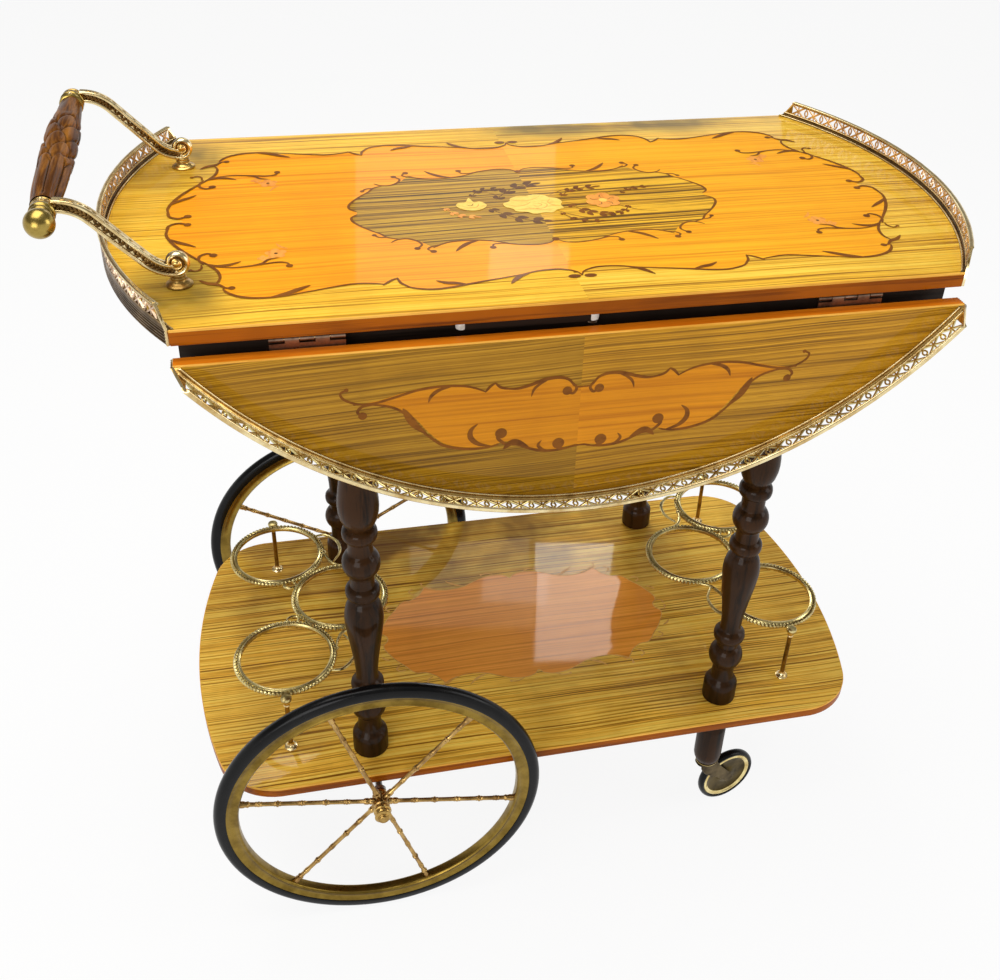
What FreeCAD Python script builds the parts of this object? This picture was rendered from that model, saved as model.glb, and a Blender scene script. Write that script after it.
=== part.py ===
import FreeCAD, Part
import math
import os
import Sketcher

# Drop leaf tea trolley, in millimetres. X runs along the table and the handle is at its -X end,
# -Y is the front, Z is up. The origin lies on the floor under the middle of the whole trolley.

V = FreeCAD.Vector
DOC = FreeCAD.newDocument("TeaTrolley")
SHEET = DOC.addObject("Spreadsheet::Sheet", "Dimensions")

DIMENSIONS = {
    # table top
    "table_height": 733.0,
    "board_thickness": 14.0,
    "top_half_length": 336.0,
    "top_half_width": 204.0,
    "top_bow": 60.5,
    "veneer": 1.0,
    "field_half_length": 341.0,
    "field_half_width": 163.0,
    "medallion_half_length": 175.0,
    "medallion_half_width": 90.0,
    # leaves and their hinges
    "leaf_depth": 166.0,
    "leaf_gap": 1.0,
    "pin_drop": 18.0,
    "pin_inset": 6.0,
    "pin_radius": 1.25,
    "knuckle_radius": 2.6,
    "hinge_length": 60.0,
    "hinge_centre": 233.0,
    "hinge_plate": 1.2,
    "hinge_plate_width": 10.5,
    "hinge_leaf_reach": 23.0,
    "knuckle_gap": 0.4,
    "cartouche_half_length": 176.0,
    "cartouche_top": 46.0,
    "cartouche_bottom": 114.0,
    # galleries
    "gallery_height": 19.0,
    "gallery_wall": 1.6,
    "gallery_foot": 4.0,
    "gallery_rail": 3.0,
    "gallery_skirt": 2.2,
    "gallery_pitch": 20.0,
    "gallery_end_gap": 1.0,
    # frame under the top
    "rail_face": 187.5,
    "rail_thickness": 8.8,
    "rail_height": 32.0,
    "rail_half_length": 332.0,
    "bearer_width": 50.0,
    "bearer_height": 16.0,
    # leaf supports
    "support_length": 116.0,
    "support_width": 10.0,
    "support_height": 8.3,
    "support_pivot_radius": 2.5,
    "support_offset": 2.0,
    "support_line": 193.5,
    # legs
    "leg_place_x": 197.6,
    "leg_place_y": 160.0,
    "leg_radius": 18.5,
    "dowel_radius": 7.0,
    # shelf
    "shelf_height": 189.5,
    "shelf_thickness": 12.0,
    "shelf_half_width": 201.0,
    "shelf_half_length": 377.0,
    "shelf_side": 295.0,
    "shelf_corner_x": 356.0,
    "shelf_corner_y": 152.0,
    "shelf_corner_radius": 67.0,
    "shelf_inlay_half_length": 174.0,
    "shelf_inlay_half_width": 92.0,
    # bottle rings
    "ring_height": 262.0,
    "ring_radius": 51.0,
    "ring_wire": 3.4,
    "outer_ring_x": 278.0,
    "outer_ring_y": 86.0,
    "middle_ring_x": 212.0,
    "post_x": 281.0,
    "post_y": 146.0,
    "post_radius": 2.6,
    # large wheels
    "wheel_radius": 169.3,
    "wheel_place_x": 194.7,
    "wheel_place_y": 219.0,
    "tyre_depth": 12.0,
    "tyre_width": 14.0,
    "rim_depth": 13.0,
    "hub_radius": 8.5,
    "hub_half_width": 11.0,
    "axle_radius": 4.0,
    "axle_clearance": 0.05,
    "cap_radius": 8.2,
    "cap_reach": 25.0,
    "spoke_count": 6,
    "spoke_radius": 2.6,
    "front_spoke_phase": -11.2,
    "back_spoke_phase": 31.0,
    # casters
    "caster_radius": 37.2,
    "caster_width": 10.0,
    "caster_trail": 33.5,
    "caster_angle": 13.0,
    "caster_tyre_depth": 5.0,
    "caster_stem_radius": 5.0,
    "caster_stem_clearance": 0.1,
    "caster_axle_radius": 2.5,
    "post_foot_height": 81.0,
    # handle
    "handle_half_span": 128.0,
    "handle_foot_x": 329.0,
    "grip_x": 421.0,
    "grip_rise": 70.0,
    "grip_radius": 15.8,
    "rod_radius": 4.0,
    "arm_width": 9.0,
    "arm_half_depth": 5.5,
    "arm_foot": 14.0,
    "arm_slope": 47.0,
    "arm_straight": 52.7,
    # from the middle of the table to the middle of the whole trolley
    "shift": 18.65,
}


class Size:
    """A number together with the spreadsheet expression that drives it."""

    def __init__(self, value, text):
        self.value = value
        self.text = text

    def __add__(self, other):
        other = size(other)
        return Size(self.value + other.value, f"({self.text} + {other.text})")

    def __sub__(self, other):
        other = size(other)
        return Size(self.value - other.value, f"({self.text} - {other.text})")

    def __mul__(self, other):
        other = size(other)
        return Size(self.value * other.value, f"({self.text} * {other.text})")

    def __truediv__(self, other):
        other = size(other)
        return Size(self.value / other.value, f"({self.text} / {other.text})")

    def __neg__(self):
        return Size(-self.value, f"(-1 * {self.text})")

    def __radd__(self, other):
        return size(other) + self

    def __rsub__(self, other):
        return size(other) - self

    def __rmul__(self, other):
        return size(other) * self


def size(number):
    return number if isinstance(number, Size) else Size(float(number), f"{float(number):.6f}")


def write_sheet():
    for row, (alias, value) in enumerate(DIMENSIONS.items(), start=1):
        SHEET.set(f"A{row}", alias)
        SHEET.set(f"B{row}", str(value))
        SHEET.setAlias(f"B{row}", alias)
    DOC.recompute()
    return {alias: Size(float(value), f"Dimensions.{alias}") for alias, value in DIMENSIONS.items()}


D = write_sheet()
KEPT = []


def arc_radius(half_chord, bow):
    return (half_chord * half_chord + bow * bow) / (2 * bow)


def cosine(angle):
    return Size(math.cos(math.radians(angle.value)), f"cos({angle.text} * 1deg)")


def sine(angle):
    return Size(math.sin(math.radians(angle.value)), f"sin({angle.text} * 1deg)")


def keep(item, label):
    item.Label = label
    KEPT.append(item)
    return item


def bind(item, name, amount):
    amount = size(amount)
    if name.count(".") == 0:
        setattr(item, name, amount.value)
    item.setExpression(name, amount.text)


def place(item, x=0, y=0, z=0, turn=0, axis=V(0, 0, 1)):
    """Puts an item in the table's frame, whose middle is `shift` from the trolley's own."""
    x, y, z = D["shift"] + x, size(y), size(z)
    item.Placement = FreeCAD.Placement(V(x.value, y.value, z.value), FreeCAD.Rotation(axis, turn))
    for letter, amount in zip("xyz", (x, y, z)):
        bind(item, f"Placement.Base.{letter}", amount)
    return item


# sketches


class Outline:
    """A closed chain of lines and arcs whose corners are bound to the spreadsheet."""

    def __init__(self, sketch, x, y):
        self.sketch = sketch
        self.start = (size(x), size(y))
        self.corner = self.start
        self.first = None
        self.last = None

    def _pin(self, geometry, end, x, y):
        for kind, axis, amount in (("DistanceX", -2, x), ("DistanceY", -1, y)):
            if amount.value == 0:
                self.sketch.addConstraint(Sketcher.Constraint("PointOnObject", geometry, end, axis))
                continue
            index = self.sketch.addConstraint(
                Sketcher.Constraint(kind, -1, 1, geometry, end, amount.value)
            )
            self.sketch.setExpression(f"Constraints[{index}]", amount.text)

    def _join(self, geometry, begin, end, closing):
        if self.last:
            self.sketch.addConstraint(Sketcher.Constraint("Coincident", *self.last, geometry, begin))
        else:
            self.first = (geometry, begin)
            self._pin(geometry, begin, *self.corner)
        self.last = (geometry, end)
        if closing:
            self.sketch.addConstraint(Sketcher.Constraint("Coincident", *self.last, *self.first))

    def line(self, x, y, closing=False):
        x, y = size(x), size(y)
        ends = [V(p[0].value, p[1].value, 0) for p in (self.corner, (x, y))]
        geometry = self.sketch.addGeometry(Part.LineSegment(*ends), False)
        self._join(geometry, 1, 2, closing)
        if not closing:
            self._pin(geometry, 2, x, y)
        self.corner = (x, y)
        return self

    def arc(self, x, y, radius, left=True, closing=False):
        """An arc to (x, y), less than half a circle, that turns left or right on its way."""
        x, y, radius = size(x), size(y), size(radius)
        a = V(self.corner[0].value, self.corner[1].value, 0)
        b = V(x.value, y.value, 0)
        half = (b - a) * 0.5
        rise = math.sqrt(radius.value**2 - half.Length**2)
        normal = V(-half.y, half.x, 0).normalize() * (rise if left else -rise)
        centre = a + half + normal
        begin, end = (a, b) if left else (b, a)
        angles = [math.atan2(p.y - centre.y, p.x - centre.x) for p in (begin, end)]
        circle = Part.Circle(centre, V(0, 0, 1), radius.value)
        geometry = self.sketch.addGeometry(Part.ArcOfCircle(circle, *angles), False)
        self._join(geometry, *((1, 2) if left else (2, 1)), closing)
        if not closing:
            self._pin(geometry, 2 if left else 1, x, y)
        index = self.sketch.addConstraint(Sketcher.Constraint("Radius", geometry, radius.value))
        self.sketch.setExpression(f"Constraints[{index}]", radius.text)
        self.corner = (x, y)
        return self

    def close(self):
        return self.line(*self.start, closing=True)

    def close_arc(self, radius, left=True):
        return self.arc(*self.start, radius, left, closing=True)


def circle(sketch, x, y, radius):
    x, y, radius = size(x), size(y), size(radius)
    geometry = sketch.addGeometry(Part.Circle(V(x.value, y.value, 0), V(0, 0, 1), radius.value), False)
    Outline(sketch, x, y)._pin(geometry, 3, x, y)
    index = sketch.addConstraint(Sketcher.Constraint("Radius", geometry, radius.value))
    sketch.setExpression(f"Constraints[{index}]", radius.text)


def polygon(sketch, corners):
    outline = Outline(sketch, *corners[0])
    for corner in corners[1:]:
        outline.line(*corner)
    outline.close()


def rectangle(sketch, x0, y0, x1, y1):
    polygon(sketch, [(x0, y0), (x1, y0), (x1, y1), (x0, y1)])


# bodies and features


def new_body(name):
    return DOC.addObject("PartDesign::Body", name)


def new_sketch(body, plane="XY_Plane", height=0):
    """A sketch on one of the body's own planes. XZ_Plane draws x, z and YZ_Plane draws y, z."""
    sketch = body.newObject("Sketcher::SketchObject", "Sketch")
    datum = [item for item in body.Origin.OriginFeatures if item.Role == plane][0]
    sketch.AttachmentSupport = [(datum, "")]
    sketch.MapMode = "FlatFace"
    height = size(height)
    if height.value:
        sketch.AttachmentOffset = FreeCAD.Placement(V(0, 0, height.value), FreeCAD.Rotation())
        bind(sketch, "AttachmentOffset.Base.z", height)
    return sketch


def extrude(body, kind, sketch, length=None, reverse=False, middle=False):
    feature = body.newObject(f"PartDesign::{kind}", kind)
    feature.Profile = sketch
    if length is None:
        feature.Type = "ThroughAll"
    else:
        bind(feature, "Length", length)
    feature.Reversed = reverse
    if middle:
        feature.Midplane = True
    sketch.Visibility = False
    return feature


def pad(body, sketch, length, reverse=False, middle=False):
    return extrude(body, "Pad", sketch, length, reverse, middle)


def pocket(body, sketch, length=None, reverse=False, middle=False):
    return extrude(body, "Pocket", sketch, length, reverse, middle)


def revolve(body, sketch, kind="Revolution", angle=360.0, axis="V_Axis"):
    feature = body.newObject(f"PartDesign::{kind}", kind)
    feature.Profile = sketch
    feature.ReferenceAxis = (sketch, [axis])
    bind(feature, "Angle", angle)
    feature.Midplane = size(angle).value < 360
    return feature


def origin_axis(body, role):
    return [item for item in body.Origin.OriginFeatures if item.Role == role][0]


def polar_pattern(body, feature, count, step=None, axis="Z_Axis", reverse=False):
    """Repeats a feature about an axis, round the whole circle or at a step in degrees."""
    pattern = body.newObject("PartDesign::PolarPattern", "PolarPattern")
    pattern.Originals = [feature]
    pattern.Axis = (origin_axis(body, axis), [""])
    pattern.Reversed = reverse
    if step is None:
        pattern.Angle = 360.0
    else:
        pattern.Mode = "Spacing"
        bind(pattern, "Offset", step)
    pattern.Occurrences = int(count)
    body.Tip = pattern
    return pattern


def mirrored(source, label, along="y"):
    """The item on the other side of the trolley's middle plane across X or Y."""
    item = DOC.addObject("Part::Mirroring", label)
    item.Source = source
    item.Normal = V(1, 0, 0) if along == "x" else V(0, 1, 0)
    if along == "x":
        item.Base = V(D["shift"].value, 0, 0)
        bind(item, "Base.x", D["shift"])
    return item


def group(items, label):
    item = DOC.addObject("Part::Compound", label)
    item.Links = items
    return item


# table top and leaves


def bowed_outline(sketch, half_length, half_width, bow):
    radius = arc_radius(half_width, bow)
    outline = Outline(sketch, -half_length, -half_width)
    outline.line(half_length, -half_width)
    outline.arc(half_length, half_width, radius)
    outline.line(-half_length, half_width)
    outline.close_arc(radius)


def returned(start, arcs, along, across):
    """The arcs walked back to their start on the other side of an axis."""
    corners = [start] + [(x, y) for x, y, _, _ in arcs]
    return [
        (x * along, y * across, radius, bulging)
        for (x, y), (_, _, radius, bulging) in zip(corners[-2::-1], arcs[::-1])
    ]


def arc_outline(sketch, start, arcs):
    """A closed outline, run anticlockwise. An arc is its end, its radius and whether it bulges out."""
    outline = Outline(sketch, *start)
    for x, y, radius, bulging in arcs[:-1]:
        outline.arc(x, y, radius, bulging)
    outline.close_arc(*arcs[-1][2:])


def quartered_outline(sketch, start, arcs):
    """Arcs from the -Y axis to the +X axis, repeated about both axes."""
    half = arcs + returned(start, arcs, 1, -1)
    arc_outline(sketch, start, half + returned(start, half, -1, 1))


def field_outline(sketch):
    """A long panel with two lobes on each side, one at each corner and two at each end."""
    a, b = D["field_half_length"], D["field_half_width"]
    arcs = [
        (a * 0.478, b * -0.87, a * 0.63, True),
        (a * 0.88, b * -0.83, a * 0.34, True),
        (a * 0.888, b * -0.66, b * 0.2, False),
        (a * 0.955, size(0), b * 0.49, True),
    ]
    quartered_outline(sketch, (size(0), b * -0.91), arcs)


def medallion_outline(sketch, half_length, half_width):
    """An oval with pointed ends and a small ear at each shoulder."""
    a, b = half_length, half_width
    arcs = [
        (a * 0.52, b * -0.82, b * 3.5, True),
        (a * 0.68, b * -0.93, b * 0.5, False),
        (a * 0.78, b * -0.62, b * 0.5, True),
        (a, size(0), b * 1.1, True),
    ]
    quartered_outline(sketch, (size(0), -b), arcs)


def cartouche_outline(sketch, depth_of_edge):
    """A bat-winged panel with a pointed tip at each side, hung below the hinge edge."""
    a = D["cartouche_half_length"]
    top = -(depth_of_edge + D["cartouche_top"])
    drop = D["cartouche_bottom"] - D["cartouche_top"]
    start = (size(0), top - drop)
    arcs = [
        (a * 0.38, top - drop * 0.77, a * 0.38, True),
        (a * 0.55, top - drop * 0.82, a * 0.3, True),
        (a * 0.8, top - drop * 0.47, a * 0.35, True),
        (a, top, a * 0.45, False),
        (a * 0.47, top, a * 0.68, True),
        (size(0), top, a * 0.7, True),
    ]
    arc_outline(sketch, start, arcs + returned(start, arcs, -1, 1))


def inlaid_board(name, outline, thickness, inlay=None):
    """A board from z = 0 down, with an inlay's recess in its face."""
    body = new_body(name)
    sketch = new_sketch(body)
    outline(sketch)
    pad(body, sketch, thickness, reverse=True)
    if inlay:
        sketch = new_sketch(body)
        inlay(sketch)
        pocket(body, sketch, D["veneer"])
    return body


def medallion(sketch):
    medallion_outline(sketch, D["medallion_half_length"], D["medallion_half_width"])


def table_top():
    def outline(sketch):
        bowed_outline(sketch, D["top_half_length"], D["top_half_width"], D["top_bow"])

    board = inlaid_board("TopBoard", outline, D["board_thickness"], field_outline)
    field = inlaid_board("TopField", field_outline, D["veneer"])
    sketch = new_sketch(field)
    medallion(sketch)
    pocket(field, sketch)
    centre = inlaid_board("TopMedallion", medallion, D["veneer"])
    for body, label in (
        (board, "top_board"),
        (field, "top_field_inlay"),
        (centre, "top_medallion_inlay"),
    ):
        keep(place(body, z=D["table_height"]), label)


def at_pin(item):
    """Puts a piece drawn about the hinge pin, with the leaf raised, on the hanging front leaf."""
    y = D["pin_inset"] - D["top_half_width"]
    return place(item, y=y, z=D["table_height"] - D["pin_drop"], turn=90, axis=V(1, 0, 0))


def leaves():
    edge = D["pin_inset"] + D["leaf_gap"]
    radius = arc_radius(D["top_half_length"], D["leaf_depth"])

    def outline(sketch):
        chain = Outline(sketch, -D["top_half_length"], -edge)
        chain.arc(D["top_half_length"], -edge, radius)
        chain.close()

    def inlay(sketch):
        cartouche_outline(sketch, edge)

    board = new_body("LeafBoard")
    sketch = new_sketch(board, height=D["pin_drop"])
    outline(sketch)
    pad(board, sketch, D["board_thickness"], reverse=True)
    sketch = new_sketch(board, height=D["pin_drop"])
    inlay(sketch)
    pocket(board, sketch, D["veneer"])
    veneer = new_body("LeafInlay")
    sketch = new_sketch(veneer, height=D["pin_drop"])
    inlay(sketch)
    pad(veneer, sketch, D["veneer"], reverse=True)
    for body, name in ((board, "board"), (veneer, "inlay")):
        keep(at_pin(body), f"front_leaf_{name}")
        keep(mirrored(body, "BackLeaf"), f"back_leaf_{name}")


# galleries


def gallery(name, radius, end_cut):
    """A rail bent round a board's edge, with its middle at -Y and z = 0 at the board's face.

    It has a foot on the face, a skirt on the edge, a bead above the foot and a thick top rail.
    """
    outside = radius + D["gallery_wall"]
    rail_out, rail_in = radius + D["gallery_rail"], radius - D["gallery_rail"] * 0.6
    skirt, skirt_end = radius + D["gallery_skirt"], 0.3 - D["board_thickness"]
    foot, foot_edge, foot_root = radius - D["gallery_foot"], 0.7, 1.5
    bead, bead_low, bead_high, bead_slope = radius - 1.4, 4.2, 5.4, 0.8
    top = D["gallery_height"]
    rail_side, rail_under = top - 3, top - 4
    section = [
        (foot, 0),
        (radius, 0),
        (radius, skirt_end),
        (skirt, skirt_end),
        (skirt, foot_root),
        (outside, foot_root + 1),
        (outside, rail_under),
        (rail_out, rail_side),
        (rail_out, top),
        (rail_in, top),
        (rail_in, rail_side),
        (radius, rail_under),
        (radius, bead_high + bead_slope),
        (bead, bead_high),
        (bead, bead_low),
        (radius, bead_low - bead_slope),
        (radius, foot_root),
        (foot, foot_edge),
    ]
    body = new_body(name)
    sketch = new_sketch(body, "YZ_Plane")
    polygon(sketch, [(-distance, level) for distance, level in section])
    revolve(body, sketch, angle=120)
    plane, cuts = end_cut
    sketch = new_sketch(body, plane)
    for corners in cuts:
        polygon(sketch, corners)
    pocket(body, sketch, middle=True)
    return body


def pierce(body, radius, side_units):
    """Cuts the lattice of crossed bars, a unit at a time from one end to the other."""
    low, high = 6.9, D["gallery_height"] - 4.7
    middle = (high + low) / 2
    half = D["gallery_pitch"] / 2
    rim = 2.2
    crossing = 0.9
    wide = half * 0.74
    step = size(180 / math.pi) * D["gallery_pitch"] / radius
    start = step * side_units
    room = 10
    sketch = new_sketch(body, "XZ_Plane")
    sketch.AttachmentOffset = FreeCAD.Placement(V(), FreeCAD.Rotation(V(0, -1, 0), start.value))
    bind(sketch, "AttachmentOffset.Rotation.Angle", start)
    bind(sketch, "AttachmentOffset.Base.x", sine(start) * (room - radius))
    bind(sketch, "AttachmentOffset.Base.z", cosine(start) * (radius - room))
    polygon(sketch, [(-wide, high), (0, middle + crossing), (wide, high)])
    polygon(sketch, [(-wide, low), (wide, low), (0, middle - crossing)])
    near, far = size(rim), half * 2 - rim
    polygon(sketch, [(near, middle), (half, high - crossing), (far, middle), (half, low + crossing)])
    cut = pocket(body, sketch, room * 2, reverse=True)
    polar_pattern(body, cut, side_units * 2 + 1, step)


def galleries():
    gap = D["gallery_end_gap"]
    below = -D["board_thickness"] - 1
    above = D["gallery_height"] + 3
    lean = above * 0.6

    end_radius = arc_radius(D["top_half_width"], D["top_bow"])
    reach = D["top_half_width"] - gap
    far = end_radius * 1.1
    beyond = [(reach, below), (far, below), (far, above), (reach - lean, above), (reach, 0)]
    cuts = [[(y * side, z) for y, z in beyond] for side in (1, -1)]
    end = gallery("EndGallery", end_radius, ("XZ_Plane", cuts))
    pierce(end, end_radius, 9)
    centre = D["top_half_length"] + D["top_bow"] - end_radius
    keep(place(end, x=centre, z=D["table_height"], turn=90), "far_end_gallery")
    keep(mirrored(end, "HandleEndGallery", "x"), "handle_end_gallery")

    leaf_radius = arc_radius(D["top_half_length"], D["leaf_depth"])
    chord = leaf_radius - D["leaf_depth"]
    line = -(chord + gap)
    cuts = [[(line, below), (far, below), (far, above), (line - lean, above), (line, 0)]]
    leaf = gallery("LeafGallery", leaf_radius, ("YZ_Plane", cuts))
    pierce(leaf, leaf_radius, 17)
    y = D["pin_inset"] - D["top_half_width"] - D["pin_drop"]
    z = D["table_height"] - D["pin_drop"] - D["pin_inset"] - D["leaf_gap"] + chord
    keep(place(leaf, y=y, z=z, turn=90, axis=V(1, 0, 0)), "front_leaf_gallery")
    keep(mirrored(leaf, "BackLeafGallery"), "back_leaf_gallery")


# hinges


def hinge_side(name, fixed):
    """One plate of a butt hinge with its knuckles: three on the table's side, two on the leaf's."""
    knuckle = D["knuckle_radius"]
    under = D["pin_drop"] - D["board_thickness"]
    length = D["hinge_length"]
    side = 1 if fixed else -1
    body = new_body(name)
    sketch = new_sketch(body, "YZ_Plane")
    start = D["pin_inset"] + D["leaf_gap"] + 1
    wide = D["hinge_plate_width"] if fixed else D["hinge_leaf_reach"]
    polygon(
        sketch,
        [
            (0, knuckle),
            (0, knuckle - D["hinge_plate"]),
            (start * side, knuckle - D["hinge_plate"]),
            (wide * side, under - D["hinge_plate"]),
            (wide * side, under),
            (start * side, under),
            (start * side, knuckle),
        ],
    )
    pad(body, sketch, length, middle=True)
    sketch = new_sketch(body, "YZ_Plane")
    circle(sketch, 0, 0, knuckle)
    pad(body, sketch, length, middle=True)
    knuckle_length = length / 5
    sketch = new_sketch(body, "XY_Plane")
    reach = knuckle + 0.4
    for index in range(5):
        if (index % 2 == 0) == fixed:
            continue
        gap = D["knuckle_gap"]
        x0 = knuckle_length * index - length / 2 - gap
        x1 = knuckle_length * (index + 1) - length / 2 + gap
        if index == 0:
            x0 = x0 - 1
        if index == 4:
            x1 = x1 + 1
        rectangle(sketch, x0, -reach, x1, reach)
    pocket(body, sketch, middle=True)
    sketch = new_sketch(body, "YZ_Plane")
    circle(sketch, 0, 0, D["pin_radius"] + (0 if fixed else 0.05))
    pocket(body, sketch, middle=True)
    return body


def hinges():
    pin_y = D["pin_inset"] - D["top_half_width"]
    pin_z = D["table_height"] - D["pin_drop"]
    sets = {"fixed": [], "leaf": [], "pin": []}
    for side in (-1, 1):
        x = D["hinge_centre"] * side
        sets["fixed"].append(place(hinge_side("HingePlate", True), x, pin_y, pin_z))
        moving = hinge_side("LeafHingePlate", False)
        sets["leaf"].append(place(moving, x, pin_y, pin_z, 90, V(1, 0, 0)))
        pin = DOC.addObject("Part::Cylinder", "HingePin")
        bind(pin, "Radius", D["pin_radius"])
        bind(pin, "Height", D["hinge_length"])
        sets["pin"].append(place(pin, x - D["hinge_length"] / 2, pin_y, pin_z, 90, V(0, 1, 0)))
    fixed = keep(group(sets["fixed"], "FrontPlates"), "front_hinge_plates")
    moving = keep(group(sets["leaf"], "FrontLeafPlates"), "front_leaf_hinge_plates")
    pins = group(sets["pin"], "FrontPins")
    keep(mirrored(fixed, "BackPlates"), "back_hinge_plates")
    keep(mirrored(moving, "BackLeafPlates"), "back_leaf_hinge_plates")
    keep(group([pins, mirrored(pins, "BackPins")], "Pins"), "hinge_pins")


# frame under the top


def box(name, x0, y0, z0, length, width, height):
    item = DOC.addObject("Part::Box", name)
    for edge, amount in (("Length", length), ("Width", width), ("Height", height)):
        bind(item, edge, amount)
    return place(item, x0, y0, z0)


def frame():
    under = D["table_height"] - D["board_thickness"]
    length = D["rail_half_length"]
    rail = box(
        "FrontRail",
        -length,
        -D["rail_face"],
        under - D["rail_height"],
        length * 2,
        D["rail_thickness"],
        D["rail_height"],
    )
    keep(rail, "front_rail")
    keep(mirrored(rail, "BackRail"), "back_rail")

    inner = D["rail_face"] - D["rail_thickness"]
    body = new_body("Bearer")
    sketch = new_sketch(body)
    rectangle(sketch, D["bearer_width"] / -2, -inner, D["bearer_width"] / 2, inner)
    for side in (-1, 1):
        circle(sketch, 0, D["leg_place_y"] * side, D["dowel_radius"])
    pad(body, sketch, D["bearer_height"])
    place(body, -D["leg_place_x"], 0, under - D["bearer_height"])
    keep(group([body, mirrored(body, "FarBearer", "x")], "Bearers"), "cross_rails")


def leaf_supports():
    under = D["table_height"] - D["board_thickness"]
    half = D["support_width"] / 2
    length = D["support_length"]
    body = new_body("SupportArm")
    sketch = new_sketch(body)
    outline = Outline(sketch, 0, -half)
    outline.arc(0, half, half * 1.0001)
    outline.line(-length + half, half * 0.8)
    outline.arc(-length + half, half * -0.8, half * 0.8001)
    outline.close()
    circle(sketch, 0, 0, D["support_pivot_radius"] + 0.05)
    pad(body, sketch, D["support_height"])
    tip = 5.5
    sketch = new_sketch(body, height=D["support_height"])
    circle(sketch, -length + tip, 0, 3)
    pocket(body, sketch, 2)
    x, y = D["support_offset"], -D["support_line"]
    level = under - 0.5 - D["support_height"]
    arm = keep(place(body, x, y, level), "front_support_arm")

    glide = DOC.addObject("Part::Cylinder", "Glide")
    bind(glide, "Radius", 3)
    bind(glide, "Height", 2.2)
    place(glide, x - length + tip, y, level + D["support_height"] - 2)
    keep(glide, "front_support_glide")

    pivot = new_body("SupportPivot")
    sketch = new_sketch(pivot, "XZ_Plane")
    shank = D["support_pivot_radius"]
    neck = D["support_height"] + 0.8
    head, head_low, head_high = 4.5, -2.6, -0.3
    polygon(
        sketch,
        [
            (0, head_low),
            (head, head_low),
            (head, head_high),
            (shank, head_high),
            (shank, neck + head_high),
            (0, neck + head_high),
        ],
    )
    revolve(pivot, sketch)
    place(pivot, x, y, level)

    turned = []
    for source, label in ((arm, "back_support_arm"), (glide, "back_support_glide"), (pivot, None)):
        item = mirrored(mirrored(source, "Swap", "x"), "Turned")
        turned.append(keep(item, label) if label else item)
    keep(group([pivot, turned[-1]], "Pivots"), "support_pivots")


# legs and shelf


def swell(outline, level, radius, neck, half, flat=0.45):
    """A turned ring or bead whose middle is at a level: up, along and back down to the neck."""
    outline.line(neck, level - half)
    outline.line(radius, level - half * flat)
    outline.line(radius, level + half * flat)
    outline.line(neck, level + half)


def leg_half(body):
    """Half a leg, from its foot dowel up to the middle of the central ball at z = 0."""
    ball = D["leg_radius"]
    dowel = D["dowel_radius"]
    neck, ring = size(12), 16.9
    rise = size(math.sqrt(ball.value**2 - neck.value**2))
    leg = (D["table_height"] - D["board_thickness"] - D["bearer_height"] - D["shelf_height"]) / 2
    base = -leg
    sketch = new_sketch(body, "XZ_Plane")
    outline = Outline(sketch, 0, base - 11)
    outline.line(dowel, base - 11)
    outline.line(dowel, base)
    outline.line(ball, base)
    outline.line(ball, base + 25)
    outline.line(neck, base + 32)
    outline.line(neck, base + 65 - rise)
    outline.arc(neck, base + 65 + rise, ball)
    swell(outline, base + 95, ring, neck, 8)
    outline.line(11, base + 106)
    outline.line(12.2, base + 126)
    outline.arc(ball + 0.9, base + 186, 160, left=False)
    outline.arc(neck, base + 210, 42)
    swell(outline, base + 221, ring, neck, 8)
    outline.line(neck, -rise)
    outline.arc(ball, 0, ball)
    outline.line(0, 0)
    outline.close()
    return revolve(body, sketch), leg


def legs():
    body = new_body("Leg")
    half, length = leg_half(body)
    mirror = body.newObject("PartDesign::Mirrored", "Mirrored")
    mirror.Originals = [half]
    mirror.MirrorPlane = (origin_axis(body, "XY_Plane"), [""])
    body.Tip = mirror
    leg = place(body, -D["leg_place_x"], -D["leg_place_y"], D["shelf_height"] + length)
    keep(leg, "front_left_leg")
    right = keep(mirrored(leg, "FrontRight", "x"), "front_right_leg")
    keep(mirrored(leg, "BackLeft"), "back_left_leg")
    keep(mirrored(right, "BackRight"), "back_right_leg")


def shelf_outline(sketch):
    side, width = D["shelf_side"], D["shelf_half_width"]
    x, y = D["shelf_corner_x"], D["shelf_corner_y"]
    corner = D["shelf_corner_radius"]
    end = arc_radius(y, D["shelf_half_length"] - x)
    outline = Outline(sketch, -side, -width)
    outline.line(side, -width)
    outline.arc(x, -y, corner)
    outline.arc(x, y, end)
    outline.arc(side, width, corner)
    outline.line(-side, width)
    outline.arc(-x, y, corner)
    outline.arc(-x, -y, end)
    outline.close_arc(corner)


def shelf():
    def inlay(sketch):
        medallion_outline(sketch, D["shelf_inlay_half_length"], D["shelf_inlay_half_width"])

    board = inlaid_board("Shelf", shelf_outline, D["shelf_thickness"], inlay)
    sketch = new_sketch(board)
    for along in (-1, 1):
        for across in (-1, 1):
            circle(sketch, D["leg_place_x"] * along, D["leg_place_y"] * across, D["dowel_radius"])
    pocket(board, sketch)
    keep(place(board, z=D["shelf_height"]), "lower_shelf")
    veneer = inlaid_board("ShelfInlay", inlay, D["veneer"])
    keep(place(veneer, z=D["shelf_height"]), "shelf_medallion_inlay")


# bottle rings


def wire_ring(name, x, y, z, radius, wire):
    """A ring of drawn wire with six flats."""
    flat, tall = wire * 0.55, wire * 0.87
    half_section = [
        (radius - wire, 0),
        (radius - flat, -tall),
        (radius + flat, -tall),
        (radius + wire, 0),
        (radius + flat, tall),
        (radius - flat, tall),
    ]
    body = new_body(name)
    sketch = new_sketch(body, "XZ_Plane")
    polygon(sketch, half_section)
    revolve(body, sketch)
    return place(body, x, y, z)


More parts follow.
